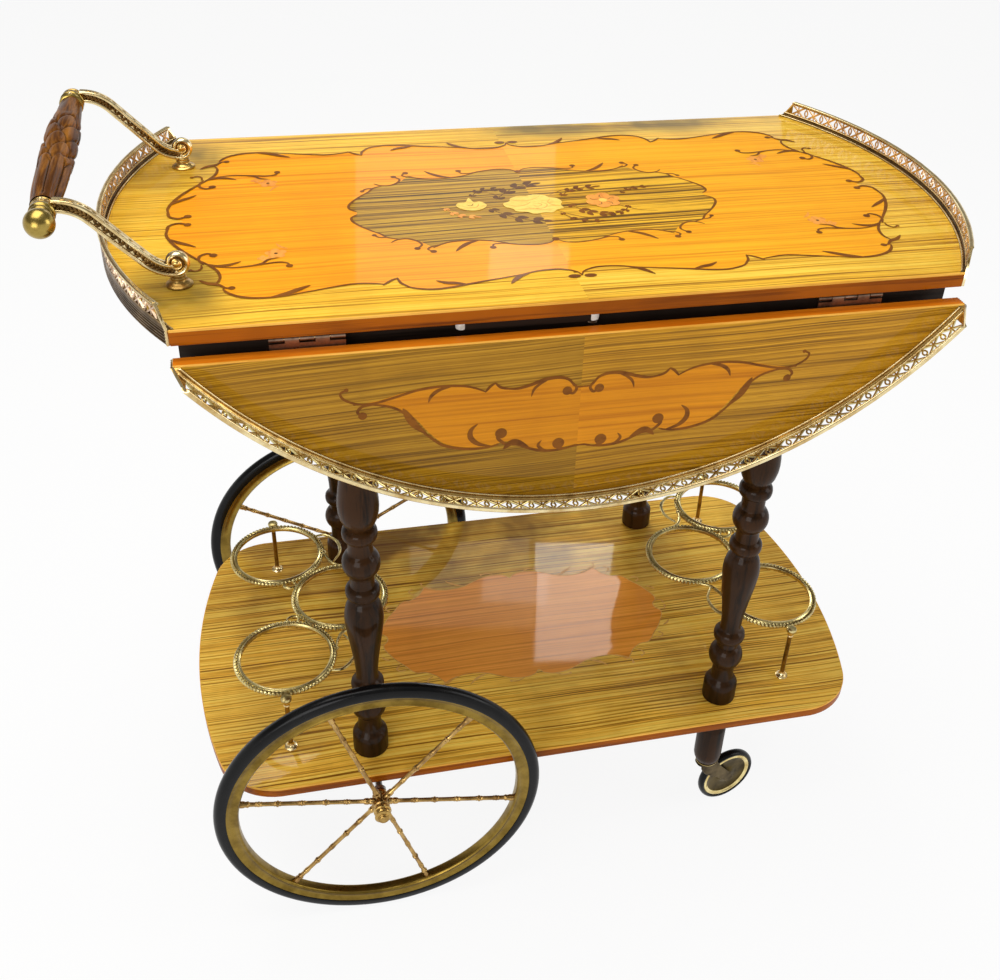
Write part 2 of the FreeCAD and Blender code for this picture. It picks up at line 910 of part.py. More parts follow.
def cylinder(name, x, y, z, radius, height):
    item = DOC.addObject("Part::Cylinder", name)
    bind(item, "Radius", radius)
    bind(item, "Height", height)
    return place(item, x, y, z)


def bottle_rings():
    level, wire, radius = D["ring_height"], D["ring_wire"], D["ring_radius"]
    eye, low = D["post_radius"] + 3.2, level - wire * 0.87
    thick = wire * 1.74
    pieces = [wire_ring("MiddleRing", -D["middle_ring_x"], 0, level, radius, wire)]
    for side in (-1, 1):
        x, y = -D["outer_ring_x"], D["outer_ring_y"] * side
        pieces.append(wire_ring("OuterRing", x, y, level, radius, wire))
        lug = ((x - D["middle_ring_x"]) / 2, y / 2, low, wire * 1.15, thick)
        pieces.append(cylinder("RingLug", *lug))
        pieces.append(cylinder("RingEye", -D["post_x"], D["post_y"] * side, low, eye, thick))
    rings = DOC.addObject("Part::MultiFuse", "Rings")
    rings.Shapes = pieces
    keep(rings, "left_bottle_rings")
    keep(mirrored(rings, "FarRings", "x"), "right_bottle_rings")

    body = new_body("RingPost")
    height = low - D["shelf_height"]
    shank, foot, collar = D["post_radius"], 7, 4.4
    sketch = new_sketch(body, "XZ_Plane")
    polygon(
        sketch,
        [
            (0, 0),
            (foot, 0),
            (foot, 1.5),
            (shank, 5),
            (shank, height - 5),
            (collar, height - 3.5),
            (collar, height),
            (0, height),
        ],
    )
    revolve(body, sketch)
    place(body, -D["post_x"], -D["post_y"], D["shelf_height"])
    pair = group([body, mirrored(body, "Post2")], "PostPair")
    keep(group([pair, mirrored(pair, "Post34", "x")], "Posts"), "bottle_ring_posts")


# large wheels


def ring_body(name, corners):
    """A body turned about Y from a half section given as radius, y."""
    body = new_body(name)
    sketch = new_sketch(body)
    polygon(sketch, corners)
    revolve(body, sketch)
    return body


def tyre():
    radius, depth = D["wheel_radius"], D["tyre_depth"]
    half = D["tyre_width"] / 2
    return ring_body(
        "Tyre",
        [
            (radius - depth, -half),
            (radius - half * 0.7, -half),
            (radius - half * 0.2, half * -0.6),
            (radius, 0),
            (radius - half * 0.2, half * 0.6),
            (radius - half * 0.7, half),
            (radius - depth, half),
        ],
    )


def rim():
    outer = D["wheel_radius"] - D["tyre_depth"]
    inner = outer - D["rim_depth"]
    half = D["tyre_width"] / 2
    inset = 3
    return ring_body(
        "Rim",
        [
            (inner, -half + inset),
            (inner + inset, -half + 0.8),
            (outer, -half + 0.8),
            (outer, half - 0.8),
            (inner + inset, half - 0.8),
            (inner, half - inset),
        ],
    )


def spokes(phase):
    """Turned rods from the hub to the rim, each with a thick root, two rings and a thick head."""
    inner = D["hub_radius"]
    outer = D["wheel_radius"] - D["tyre_depth"] - D["rim_depth"]
    shank = D["spoke_radius"]
    root, bead, bead_half, buried = shank + 1, shank + 0.8, 2, 1.5
    body = new_body("Spokes")
    sketch = new_sketch(body)
    outline = Outline(sketch, inner - buried, 0)
    outline.line(inner - buried, root)
    outline.line(inner + 9, root)
    outline.line(inner + 9, shank)
    for share in (0.36, 0.72):
        middle = inner + (outer - inner) * share
        outline.line(middle - bead_half, shank)
        outline.line(middle - bead_half, bead)
        outline.line(middle + bead_half, bead)
        outline.line(middle + bead_half, shank)
    outline.line(outer - 9, shank)
    outline.line(outer - 9, root)
    outline.line(outer + buried, root)
    outline.line(outer + buried, 0)
    outline.close()
    spoke = revolve(body, sketch, axis="H_Axis")
    polar_pattern(body, spoke, D["spoke_count"].value, axis="Y_Axis")
    sketch = new_sketch(body)
    rectangle(sketch, 0, -6, inner, 6)
    rectangle(sketch, outer, -6, outer + 8, 6)
    revolve(body, sketch, "Groove")
    item = place(body, -D["wheel_place_x"], 0, D["wheel_radius"])
    item.Placement = FreeCAD.Placement(item.Placement.Base, FreeCAD.Rotation(V(0, -1, 0), phase.value))
    bind(item, "Placement.Rotation.Angle", phase)
    return item


def hub():
    """The hub's bore runs on the axle. Its outer end faces -Y."""
    bore = D["axle_radius"] + D["axle_clearance"]
    radius, half = D["hub_radius"], D["hub_half_width"]
    return ring_body(
        "Hub",
        [
            (bore, -half),
            (radius - 1.5, -half),
            (radius, -half + 2),
            (radius, half - 2),
            (radius - 1.5, half),
            (bore, half),
        ],
    )


def hub_cap():
    """A ringed cap that closes the axle's end."""
    start = -(D["hub_half_width"] + 0.5)
    end, seat = -D["cap_reach"], -D["hub_half_width"] - 7
    axle, full = D["axle_radius"], D["cap_radius"]
    tip, groove = full - 2.2, full - 1.4
    return ring_body(
        "HubCap",
        [
            (0, end),
            (tip - 1.4, end),
            (tip, end + 1.4),
            (tip, end + 3),
            (full - 0.4, end + 4.5),
            (full - 0.4, end + 6),
            (groove, end + 7),
            (full, end + 8.5),
            (full, start),
            (axle, start),
            (axle, seat),
            (0, seat),
        ],
    )


def wheels():
    x, y, z = -D["wheel_place_x"], -D["wheel_place_y"], D["wheel_radius"]
    for body, name in ((tyre(), "tyre"), (rim(), "rim"), (hub(), "hub")):
        keep(place(body, x, y, z), f"front_wheel_{name}")
        keep(mirrored(body, "BackWheel"), f"back_wheel_{name}")
    for end, side in (("front", -1), ("back", 1)):
        body = spokes(D[f"{end}_spoke_phase"])
        bind(body, "Placement.Base.y", D["wheel_place_y"] * side)
        keep(body, f"{end}_wheel_spokes")
    cap = place(hub_cap(), x, y, z)
    keep(group([cap, mirrored(cap, "BackCap")], "Caps"), "wheel_caps")

    end = D["wheel_place_y"] + D["hub_half_width"] + 7
    collar = D["wheel_place_y"] - D["hub_half_width"] - 0.5
    collar_width, collar_radius = 4, 7
    radius = D["axle_radius"]
    half_section = [
        (radius, end),
        (radius, collar),
        (collar_radius, collar),
        (collar_radius, collar - collar_width),
        (radius, collar - collar_width),
    ]
    ends = [(0, end)] + half_section
    body = ring_body("Axle", ends + [(across, -along) for across, along in ends[::-1]])
    keep(place(body, x, 0, z), "wheel_axle")

    clip = new_body("AxleClip")
    sketch = new_sketch(clip, "XZ_Plane")
    under = D["shelf_height"] - D["shelf_thickness"] - D["wheel_radius"]
    sheet = 2
    strap, wing, length = radius + sheet, 15, 14
    outline = Outline(sketch, -wing, under)
    outline.line(-wing, under - sheet)
    outline.line(-strap, under - sheet)
    outline.line(-strap, 0)
    outline.arc(0, -strap, strap)
    outline.arc(strap, 0, strap)
    outline.line(strap, under - sheet)
    outline.line(wing, under - sheet)
    outline.line(wing, under)
    outline.line(radius, under)
    outline.line(radius, 0)
    outline.arc(0, -radius, radius, left=False)
    outline.arc(-radius, 0, radius, left=False)
    outline.line(-radius, under)
    outline.close()
    pad(clip, sketch, length, middle=True)
    place(clip, x, -D["leg_place_y"], z)
    keep(group([clip, mirrored(clip, "Clip2")], "Clips"), "axle_clips")


# casters


def caster_post():
    """The turned foot under the shelf that holds a caster's stem."""
    low = D["post_foot_height"]
    high = D["shelf_height"] - D["shelf_thickness"]
    full, waist, foot = 16, 12.5, 12
    socket_depth = 36
    body = new_body("CasterPost")
    sketch = new_sketch(body, "XZ_Plane")
    stem = D["caster_stem_radius"] + D["caster_stem_clearance"]
    outline = Outline(sketch, stem, low)
    outline.line(foot, low)
    outline.arc(full, low + 11, 14)
    outline.line(full, low + 58)
    outline.line(waist, low + 63)
    outline.line(waist, low + 70)
    outline.arc(full + 1.5, low + 80, 14)
    outline.line(full + 1.5, high)
    outline.line(0, high)
    outline.line(0, low + socket_depth)
    outline.line(stem, low + socket_depth)
    outline.close()
    revolve(body, sketch)
    return place(body, D["leg_place_x"], -D["leg_place_y"], 0)


def caster_socket():
    body = new_body("CasterSocket")
    sketch = new_sketch(body, "XZ_Plane")
    stem = D["caster_stem_radius"] + D["caster_stem_clearance"]
    top = D["post_foot_height"]
    rectangle(sketch, stem, top - 1.2, 12.5, top)
    revolve(body, sketch)
    return place(body, D["leg_place_x"], -D["leg_place_y"], 0)


def turned(body, y):
    """Puts a caster piece, drawn with its wheel at +X of the stem, under its post."""
    place(body, D["leg_place_x"], y, 0)
    body.Placement = FreeCAD.Placement(
        body.Placement.Base, FreeCAD.Rotation(V(0, 0, 1), D["caster_angle"].value)
    )
    bind(body, "Placement.Rotation.Angle", D["caster_angle"])
    return body


def caster_fork():
    """A crown with two tapering side plates that hold the wheel's axle, and a stem on top."""
    trail, radius = D["caster_trail"], D["caster_radius"]
    crown_top = D["post_foot_height"] - 1.6
    crown, plate, crown_half, eye = 2.2, 2.0, 9.5, 6
    inside = D["caster_width"] / 2 + 1
    stem, stem_length = D["caster_stem_radius"], 34
    body = new_body("CasterFork")
    sketch = new_sketch(body, "XZ_Plane")
    outline = Outline(sketch, -crown_half, crown_top)
    outline.line(trail - eye * 0.8, radius - eye * 0.6)
    outline.arc(trail + eye * 0.8, radius + eye * 0.6, eye + 0.01)
    outline.line(crown_half + 3, crown_top)
    outline.close()
    pad(body, sketch, inside * 2 + plate * 2, middle=True)
    sketch = new_sketch(body, "YZ_Plane")
    rectangle(sketch, -inside, 0, inside, crown_top - crown)
    pocket(body, sketch, middle=True)
    sketch = new_sketch(body, "XZ_Plane")
    circle(sketch, trail, radius, D["caster_axle_radius"])
    pocket(body, sketch, middle=True)
    sketch = new_sketch(body, height=crown_top)
    circle(sketch, 0, 0, stem)
    pad(body, sketch, stem_length)
    return body


def caster_axle():
    half = D["caster_width"] / 2 + 3
    head = D["caster_axle_radius"] + 1.5
    pin = D["caster_axle_radius"]
    body = ring_body(
        "CasterAxle",
        [
            (0, -half - 1.5),
            (head - 1, -half - 1.5),
            (head, -half - 0.6),
            (head, -half),
            (pin, -half),
            (pin, half),
            (head, half),
            (head, half + 0.6),
            (head - 1, half + 1.5),
            (0, half + 1.5),
        ],
    )
    return body


def caster_disc():
    """A pressed disc with a dished face and a rolled edge."""
    outer = D["caster_radius"] - D["caster_tyre_depth"]
    bore = D["caster_axle_radius"] + 0.05
    half = D["caster_width"] / 2
    return ring_body(
        "CasterDisc",
        [
            (bore, -half + 0.4),
            (8, -half + 0.4),
            (11, -2),
            (outer - 5, -2),
            (outer - 3.5, -half),
            (outer - 1, -half),
            (outer, -half + 1),
            (outer, half - 1),
            (outer - 1, half),
            (outer - 3.5, half),
            (outer - 5, 2),
            (11, 2),
            (8, half - 0.4),
            (bore, half - 0.4),
        ],
    )


def caster_tyre():
    radius = D["caster_radius"]
    inner = radius - D["caster_tyre_depth"]
    half = D["caster_width"] / 2
    return ring_body(
        "CasterTyre",
        [
            (inner, -half + 1),
            (inner + 1, -half),
            (radius - 2, -half),
            (radius, -half + 2),
            (radius, half - 2),
            (radius - 2, half),
            (inner + 1, half),
            (inner, half - 1),
        ],
    )


def casters():
    post = caster_post()
    keep(post, "front_caster_post")
    keep(mirrored(post, "BackPost"), "back_caster_post")
    socket = caster_socket()
    keep(group([socket, mirrored(socket, "BackSocket")], "Sockets"), "caster_sockets")
    for end, y in (("front", -D["leg_place_y"]), ("back", D["leg_place_y"])):
        keep(turned(caster_fork(), y), f"{end}_caster_fork")
        for make, name in ((caster_axle, "axle"), (caster_disc, "disc"), (caster_tyre, "tyre")):
            body = turned(make(), y)
            angle = D["caster_angle"]
            trail = D["caster_trail"]
            bind(body, "Placement.Base.x", cosine(angle) * trail + D["leg_place_x"] + D["shift"])
            bind(body, "Placement.Base.y", sine(angle) * trail + y)
            bind(body, "Placement.Base.z", D["caster_radius"])
            keep(body, f"{end}_caster_{name}")


# handle


def handle_arm():
    """A cast arm in the XZ plane, from a scroll on its foot up to an eye round the grip's rod.

    Its middle line leaves the foot level, bends up to a slope and bends back to level.
    """
    foot, eye, rise = -D["handle_foot_x"], -D["grip_x"], D["grip_rise"]
    half, start, slope = D["arm_half_depth"], D["arm_foot"], D["arm_slope"]
    straight = D["arm_straight"]
    low_bend, high_bend = 31.5, 35.0
    sin, cos = sine(slope), cosine(slope)
    x1, z1 = foot - sin * low_bend, start + (1 - cos) * low_bend
    x2, z2 = x1 - cos * straight, z1 + sin * straight
    x3, z3 = x2 - sin * high_bend, z2 + (1 - cos) * high_bend
    width, eye_radius, scroll = D["arm_width"], 10.0, 12.0

    def chain(sketch, depth):
        outline = Outline(sketch, foot, start + depth)
        outline.arc(x1 + sin * depth, z1 + cos * depth, low_bend - depth, left=False)
        outline.line(x2 + sin * depth, z2 + cos * depth)
        outline.arc(x3, z3 + depth, high_bend + depth)
        outline.line(eye, z3 + depth - 0.3)
        outline.line(eye, z3 - depth - 2)
        outline.line(x3, z3 - depth)
        outline.arc(x2 - sin * depth, z2 - cos * depth, high_bend - depth, left=False)
        outline.line(x1 - sin * depth, z1 - cos * depth)
        outline.arc(foot, start - depth, low_bend + depth)
        outline.close()

    body = new_body("HandleArm")
    sketch = new_sketch(body, "XZ_Plane")
    chain(sketch, half)
    pad(body, sketch, width, middle=True)
    for along, across, radius, length in (
        (foot, start - half + scroll, scroll, width),
        (foot, start - half + scroll, scroll / 3, width + 4),
        (eye, rise, eye_radius, width),
    ):
        sketch = new_sketch(body, "XZ_Plane")
        circle(sketch, along, across, radius)
        pad(body, sketch, length, middle=True)
    for radius, height in ((11, 3), (6.5, start - half + 1)):
        sketch = new_sketch(body)
        circle(sketch, foot, 0, radius)
        pad(body, sketch, height)
    sketch = new_sketch(body, "XZ_Plane")
    circle(sketch, eye, rise, D["rod_radius"])
    pocket(body, sketch, middle=True)
    return body


def grip():
    """A turned barrel, thickest near its middle, that narrows to a collar at each arm."""
    half = D["handle_half_span"] - D["arm_width"] / 2
    full, rod = D["grip_radius"], D["rod_radius"]
    body = new_body("Grip")
    outwards = [(full - 0.8, 0), (full, 20), (full - 1.4, 43), (full - 0.9, 62), (full - 3, 100)]
    profile = outwards + [(full - 4, half - 6), (full - 4, half), (rod, half)]
    sketch = new_sketch(body)
    polygon(sketch, [(r, -y) for r, y in profile[:0:-1]] + profile)
    revolve(body, sketch)
    return body


def end_cap():
    """A collar and a ball that close the rod's end, with the arm on their inner side."""
    start = -(D["handle_half_span"] + D["arm_width"] / 2)
    rod, collar, ball, neck = D["rod_radius"], 11.0, 14.5, 10.5
    seat = start - 10
    shoulder = start - 13
    middle = shoulder - math.sqrt(ball**2 - neck**2)
    body = new_body("EndCap")
    sketch = new_sketch(body)
    outline = Outline(sketch, rod, start)
    outline.line(collar, start)
    outline.line(collar, start - 4)
    outline.line(collar + 1.5, start - 6)
    outline.line(collar + 1.5, start - 9)
    outline.line(neck, shoulder)
    outline.arc(0, middle - ball, ball, left=False)
    outline.line(0, seat)
    outline.line(rod, seat)
    outline.close()
    revolve(body, sketch)
    return body


def handle():
    for end, y in (("front", -D["handle_half_span"]), ("back", D["handle_half_span"])):
        keep(place(handle_arm(), 0, y, D["table_height"]), f"{end}_handle_arm")
    x, z = -D["grip_x"], D["table_height"] + D["grip_rise"]
    keep(place(grip(), x, 0, z), "handle_grip")
    rod = DOC.addObject("Part::Cylinder", "HandleRod")
    length = (D["handle_half_span"] + D["arm_width"] / 2 + 10) * 2
    bind(rod, "Radius", D["rod_radius"])
    bind(rod, "Height", length)
    keep(place(rod, x, length / 2, z, 90, V(1, 0, 0)), "handle_rod")
    cap = place(end_cap(), x, 0, z)
    keep(group([cap, mirrored(cap, "BackCap")], "EndCaps"), "handle_end_caps")


def export():
    DOC.recompute()
    for item in DOC.Objects:
        if "Invalid" in item.State or "Error" in item.State:
            raise RuntimeError(f"{item.Name} ({item.Label}) failed: {item.State}")
    for item in KEPT:
        if item.Shape.isNull() or not item.Shape.isValid():
            raise RuntimeError(f"{item.Label} has no valid shape")
    os.makedirs("parts", exist_ok=True)
    for item in KEPT:
        item.Shape.exportStep(f"parts/{item.Label}.step")


table_top()
leaves()
galleries()
hinges()
frame()
leaf_supports()
legs()
shelf()
bottle_rings()
wheels()
casters()
handle()
export()
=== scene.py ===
import bmesh
import bpy
import math
from math import cos, pi, sin
from mathutils import Matrix, Vector
from mathutils.geometry import tessellate_polygon

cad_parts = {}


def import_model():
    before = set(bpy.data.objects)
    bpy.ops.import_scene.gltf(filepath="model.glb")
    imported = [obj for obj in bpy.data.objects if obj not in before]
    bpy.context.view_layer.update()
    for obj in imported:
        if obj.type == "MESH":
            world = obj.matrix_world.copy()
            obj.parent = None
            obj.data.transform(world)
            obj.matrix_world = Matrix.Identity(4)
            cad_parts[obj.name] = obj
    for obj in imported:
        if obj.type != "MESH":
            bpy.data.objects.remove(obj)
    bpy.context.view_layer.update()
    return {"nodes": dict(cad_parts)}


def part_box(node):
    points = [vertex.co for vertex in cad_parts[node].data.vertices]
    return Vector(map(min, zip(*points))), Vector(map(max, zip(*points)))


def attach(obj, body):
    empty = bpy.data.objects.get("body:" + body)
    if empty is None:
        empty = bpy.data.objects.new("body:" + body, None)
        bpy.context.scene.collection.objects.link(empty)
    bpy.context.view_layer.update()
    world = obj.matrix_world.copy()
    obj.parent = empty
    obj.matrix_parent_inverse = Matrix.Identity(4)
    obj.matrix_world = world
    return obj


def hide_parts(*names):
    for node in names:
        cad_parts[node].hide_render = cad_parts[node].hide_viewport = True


# The looks of the drop leaf tea trolley. Sizes are millimetres in the table's own frame: its middle
# is x = 0, the handle is at -X, the front is -Y and the floor is z = 0.

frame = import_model()

MM = 0.001
board_low, board_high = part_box("top_board")
SHIFT = (board_low[0] + board_high[0]) / 2  # the table's middle in the CAD frame, in metres
ENDS = (("front", -1), ("back", 1))

# top, leaves and shelf
TOP = 733.0
BOARD = 14.0
TOP_HALF = (336.0, 204.0)
TOP_BOW = 60.5
LEAF_FACE = -216.0
LEAF_EDGE = 708.0
LEAF_DEPTH = 166.0
HINGE_X, HINGE_FACE = 233.0, 200.8
SUPPORT_Y = 193.5
SHELF = 189.5
SHELF_THICK = 12.0
SHELF_SIDE, SHELF_END = (295.0, 201.0), (356.0, 152.0)
SHELF_CORNER, SHELF_BOW = 67.0, 21.0
GALLERY_TOP = 19.0
LATTICE_PITCH = 20.0

# legs and bottle rings
LEG_X, LEG_Y = 197.6, 160.0
RING_Z, RING_R = 262.0, 51.0
MIDDLE_RING_X = 212.0
OUTER_RING = (278.0, 86.0)
RING_POST = (281.0, 146.0)

# wheels, casters and handle
BORE = 4.05
WHEEL_X, WHEEL_Y, WHEEL_R = -194.7, 219.0, 169.3
POST_FOOT = 81.0
CASTER_R, CASTER_TRAIL, CASTER_TURN = 37.2, 33.5, math.radians(13.0)
GRIP_X, GRIP_Z = -421.0, TOP + 70.0
HANDLE_FOOT_X, HANDLE_SPAN = -329.0, 128.0
ARM_START = TOP + 14.0


def bow_radius(half_chord, bow):
    return (half_chord * half_chord + bow * bow) / (2 * bow)


END_R = bow_radius(TOP_HALF[1], TOP_BOW)
END_CENTRE = TOP_HALF[0] + TOP_BOW - END_R
LEAF_R = bow_radius(TOP_HALF[0], LEAF_DEPTH)
LEAF_CHORD = LEAF_R - LEAF_DEPTH


# curves


def turns(count):
    """Angles that share out a whole turn."""
    return [2 * pi * k / count for k in range(count)]


def polar(x, y, radius, angle):
    """The point at a distance and an angle from (x, y)."""
    return x + radius * cos(angle), y + radius * sin(angle)


def smooth(points, steps=8, closed=False):
    """Points along a curve through the given ones."""
    count = len(points)
    out = []
    for i in range(count if closed else count - 1):
        near = [i - 1, i, i + 1, i + 2]
        near = [k % count if closed else min(max(k, 0), count - 1) for k in near]
        a, b, c, d = (points[k] for k in near)
        for j in range(steps):
            t = j / steps
            out.append(
                tuple(
                    0.5
                    * (
                        2 * q
                        + (r - p) * t
                        + (2 * p - 5 * q + 4 * r - s) * t * t
                        + (3 * q - p - 3 * r + s) * t**3
                    )
                    for p, q, r, s in zip(a, b, c, d)
                )
            )
    if not closed:
        out.append(tuple(points[-1]))
    return out


def arc(centre, radius, start, end, steps):
    """Points on an arc, with its angles in degrees."""
    angles = [math.radians(start + (end - start) * i / steps) for i in range(steps + 1)]
    return [polar(*centre, radius, a) for a in angles]


def arc_between(a, b, radius, steps):
    """Points from a to b, without b, on an arc that turns left."""
    a, b = Vector(a), Vector(b)
    half = (b - a) / 2
    rise = math.sqrt(radius * radius - half.length_squared)
    centre = a + half + Vector((-half.y, half.x)).normalized() * rise
    first = (a - centre).angle_signed(Vector((1, 0)))
    last = (b - centre).angle_signed(Vector((1, 0)))
    if last < first:
        last += 2 * pi
    return [polar(*centre, radius, first + (last - first) * i / steps) for i in range(steps)]


def inset(outline, distance):
    """An anticlockwise outline moved inwards."""
    moved = []
    for i, point in enumerate(outline):
        before = Vector(point) - Vector(outline[i - 1])
        after = Vector(outline[(i + 1) % len(outline)]) - Vector(point)
        normal = Vector((-before.y, before.x)).normalized() + Vector((-after.y, after.x)).normalized()
        shift = normal * (2 * distance / normal.length_squared)
        moved.append((point[0] + shift.x, point[1] + shift.y))
    return moved


def mirrored_outline(quarter):
    """A closed outline from its part between the -Y axis and the +X axis."""
    right = quarter + [(x, -y) for x, y in quarter[-2::-1]]
    left = [(-x, y) for x, y in right[-2:0:-1]]
    return right + left


def both_ways(half, middle=()):
    """A profile of (radius, along) from its first half, mirrored across 0 with a middle between."""
    return half + list(middle) + [(r, -y) for r, y in half[::-1]]


# shapes


class Shape:
    """Points, faces and material numbers that become one piece."""

    def __init__(self):
        self.points = []
        self.faces = []
        self.slots = []

    def add(self, points, faces, slot=0):
        base = len(self.points)
        self.points += [tuple(p) for p in points]
        self.faces += [[base + i for i in face] for face in faces]
        self.slots += [slot] * len(faces)
        return self

    def skin(self, rows, ring=True, loop=False, cap=False, slot=0):
        """Joins rows of points. A ring's rows close, and a loop's last row meets its first."""
        wide = len(rows[0])
        faces = []
        for i in range(len(rows) if loop else len(rows) - 1):
            j = (i + 1) % len(rows)
            for k in range(wide if ring else wide - 1):
                m = (k + 1) % wide
                faces.append((i * wide + k, i * wide + m, j * wide + m, j * wide + k))
        if cap:
            last = (len(rows) - 1) * wide
            faces += [tuple(range(wide))[::-1], tuple(range(last, last + wide))]
        return self.add([p for row in rows for p in row], faces, slot)

    def lathe(self, profile, at=(0, 0, 0), axis="z", sides=40, slot=0, loop=False, carve=None):
        """A profile of (radius, along) turned about an axis through a point."""
        rows = []
        for radius, along in profile:
            row = []
            for angle in turns(sides):
                reach = radius * carve(along, angle) if carve else radius
                u, v = reach * cos(angle), reach * sin(angle)
                x, y, z = {"z": (u, v, along), "y": (u, along, v), "x": (along, u, v)}[axis]
                row.append((at[0] + x, at[1] + y, at[2] + z))
            rows.append(row)
        return self.skin(rows, loop=loop, slot=slot)

    def tube(self, path, radii, sides=8, slot=0):
        """A round bar along a path, with a radius for each point."""
        points = [Vector(p) for p in path]
        normal = None
        rows = []
        for i, (point, reach) in enumerate(zip(points, radii)):
            before = points[i - 1] if i else point
            after = points[i + 1] if i < len(points) - 1 else point
            along = (after - before).normalized()
            if normal is None:
                normal = Vector((0, 0, 1)) if abs(along.z) < 0.9 else Vector((1, 0, 0))
            normal = (normal - along * normal.dot(along)).normalized()
            side = along.cross(normal)
            rows.append([point + (normal * cos(a) + side * sin(a)) * reach for a in turns(sides)])
        return self.skin(rows, cap=True, slot=slot)

    def ball(self, at, size, around=12, along=6, slot=0, turn=None):
        """An ellipsoid with its half sizes along X, Y and Z, turned by a matrix."""
        rows = []
        for i in range(along + 1):
            lift = pi * i / along
            row = []
            for angle in turns(around):
                u, v = size[0] * sin(lift) * cos(angle), size[1] * sin(lift) * sin(angle)
                p = Vector((u, v, size[2] * cos(lift)))
                if turn:
                    p = turn @ p
                row.append((at[0] + p.x, at[1] + p.y, at[2] + p.z))
            rows.append(row)
        return self.skin(rows, slot=slot)

    def fill(self, outline, height, slot=0):
        """A flat sheet inside an outline."""
        corners = [Vector((x, y, 0)) for x, y in outline]
        triangles = tessellate_polygon([corners])
        return self.add([(x, y, height) for x, y in outline], triangles, slot)

    def join(self, other, move):
        """Adds another shape with each of its points moved."""
        base = len(self.points)
        self.points += [move(*p) for p in other.points]
        self.faces += [[base + i for i in face] for face in other.faces]
        self.slots += other.slots
        return self


def back_of(x, y, z):
    return x, -y, z


def placed(shape, move):
    """A copy of a shape with each of its points moved."""
    return Shape().join(shape, move)


def piece(name, shape, body, tints, stands_for=(), sharp=38.0):
    """Makes the Blender piece, in metres, riding on its CAD body. Tints are names in M."""
    mesh = bpy.data.meshes.new(name)
    mesh.from_pydata([(x * MM + SHIFT, y * MM, z * MM) for x, y, z in shape.points], [], shape.faces)
    for tint in tints:
        mesh.materials.append(M[tint])
    mesh.polygons.foreach_set("material_index", shape.slots)
    work = bmesh.new()
    work.from_mesh(mesh)
    bmesh.ops.remove_doubles(work, verts=work.verts, dist=1e-7)
    bmesh.ops.recalc_face_normals(work, faces=work.faces)
    work.to_mesh(mesh)
    work.free()
    mesh.polygons.foreach_set("use_smooth", [True] * len(mesh.polygons))
    mesh.set_sharp_from_angle(angle=math.radians(sharp))
    item = bpy.data.objects.new(name, mesh)
    bpy.context.scene.collection.objects.link(item)
    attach(item, body)
    if stands_for:
        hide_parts(*stands_for)


# materials


def colour(red, green, blue):
    """A linear colour from its 0 to 255 screen values."""
    scaled = [v / 255 for v in (red, green, blue)]
    linear = [v / 12.92 if v < 0.04045 else ((v + 0.055) / 1.055) ** 2.4 for v in scaled]
    return (*linear, 1.0)


class Finish:
    """A material and short calls for the nodes that it is made of."""

    def __init__(self, name, **shader):
        self.material = bpy.data.materials.new(name)
        self.material.use_nodes = True
        self.tree = self.material.node_tree
        self.shader = self.tree.nodes["Principled BSDF"]
        for socket, value in shader.items():
            self.shader.inputs[socket.replace("_", " ")].default_value = value

    def node(self, kind, **settings):
        made = self.tree.nodes.new(kind)
        for key, value in settings.items():
            setattr(made, key, value)
        return made

    def feed(self, target, value):
        if isinstance(value, bpy.types.NodeSocket):
            self.tree.links.new(value, target)
        else:
            target.default_value = value

    def coordinates(self):
        return self.node("ShaderNodeTexCoord").outputs["Object"]

    def scaled(self, vector, scale):
        made = self.node("ShaderNodeMapping")
        self.feed(made.inputs["Vector"], vector)
        made.inputs["Scale"].default_value = scale
        return made.outputs["Vector"]

    def noise(self, vector, scale=1.0, detail=2.0, rough=0.5, twist=0.0):
        made = self.node("ShaderNodeTexNoise")
        self.feed(made.inputs["Vector"], vector)
        values = {"Scale": scale, "Detail": detail, "Roughness": rough, "Distortion": twist}
        for socket, value in values.items():
            made.inputs[socket].default_value = value
        return made.outputs["Fac"]

    def maths(self, operation, a, b=0.0):
        made = self.node("ShaderNodeMath", operation=operation)
        for socket, value in zip(made.inputs, (a, b)):
            self.feed(socket, value)
        return made.outputs[0]

    def ramp(self, value, stops):
        made = self.node("ShaderNodeValToRGB")
        self.feed(made.inputs["Fac"], value)
        set_stops(made.color_ramp, stops)
        return made.outputs["Color"]

    def level(self, value, low, high, start=0.0, end=1.0):
        """A value brought from one range to another."""
        made = self.node("ShaderNodeMapRange")
        self.feed(made.inputs["Value"], value)
        amounts = {"From Min": low, "From Max": high, "To Min": start, "To Max": end}
        for socket, amount in amounts.items():
            made.inputs[socket].default_value = amount
        return made.outputs["Result"]

    def mix(self, share, a, b, blend="MIX"):
        made = self.node("ShaderNodeMix", data_type="RGBA", blend_type=blend)
        self.feed(made.inputs["Factor"], share)
        sockets = [s for s in made.inputs if s.type == "RGBA"]
        for socket, value in zip(sockets, (a, b)):
            self.feed(socket, value)
        return [s for s in made.outputs if s.type == "RGBA"][0]

    def bump(self, height, distance, strength, socket="Normal"):
        made = self.node("ShaderNodeBump")
        made.inputs["Strength"].default_value = strength
        made.inputs["Distance"].default_value = distance
        self.feed(made.inputs["Height"], height)
        self.tree.links.new(made.outputs["Normal"], self.shader.inputs[socket])

    def set(self, **sockets):
        for name, value in sockets.items():
            self.feed(self.shader.inputs[name.replace("_", " ")], value)


def set_stops(ramp, stops):
    """Puts (place, colour) stops on a colour ramp."""
    while len(ramp.elements) < len(stops):
        ramp.elements.new(0.5)
    for element, (place, tint) in zip(ramp.elements, stops):
        element.position = place
        element.color = tint


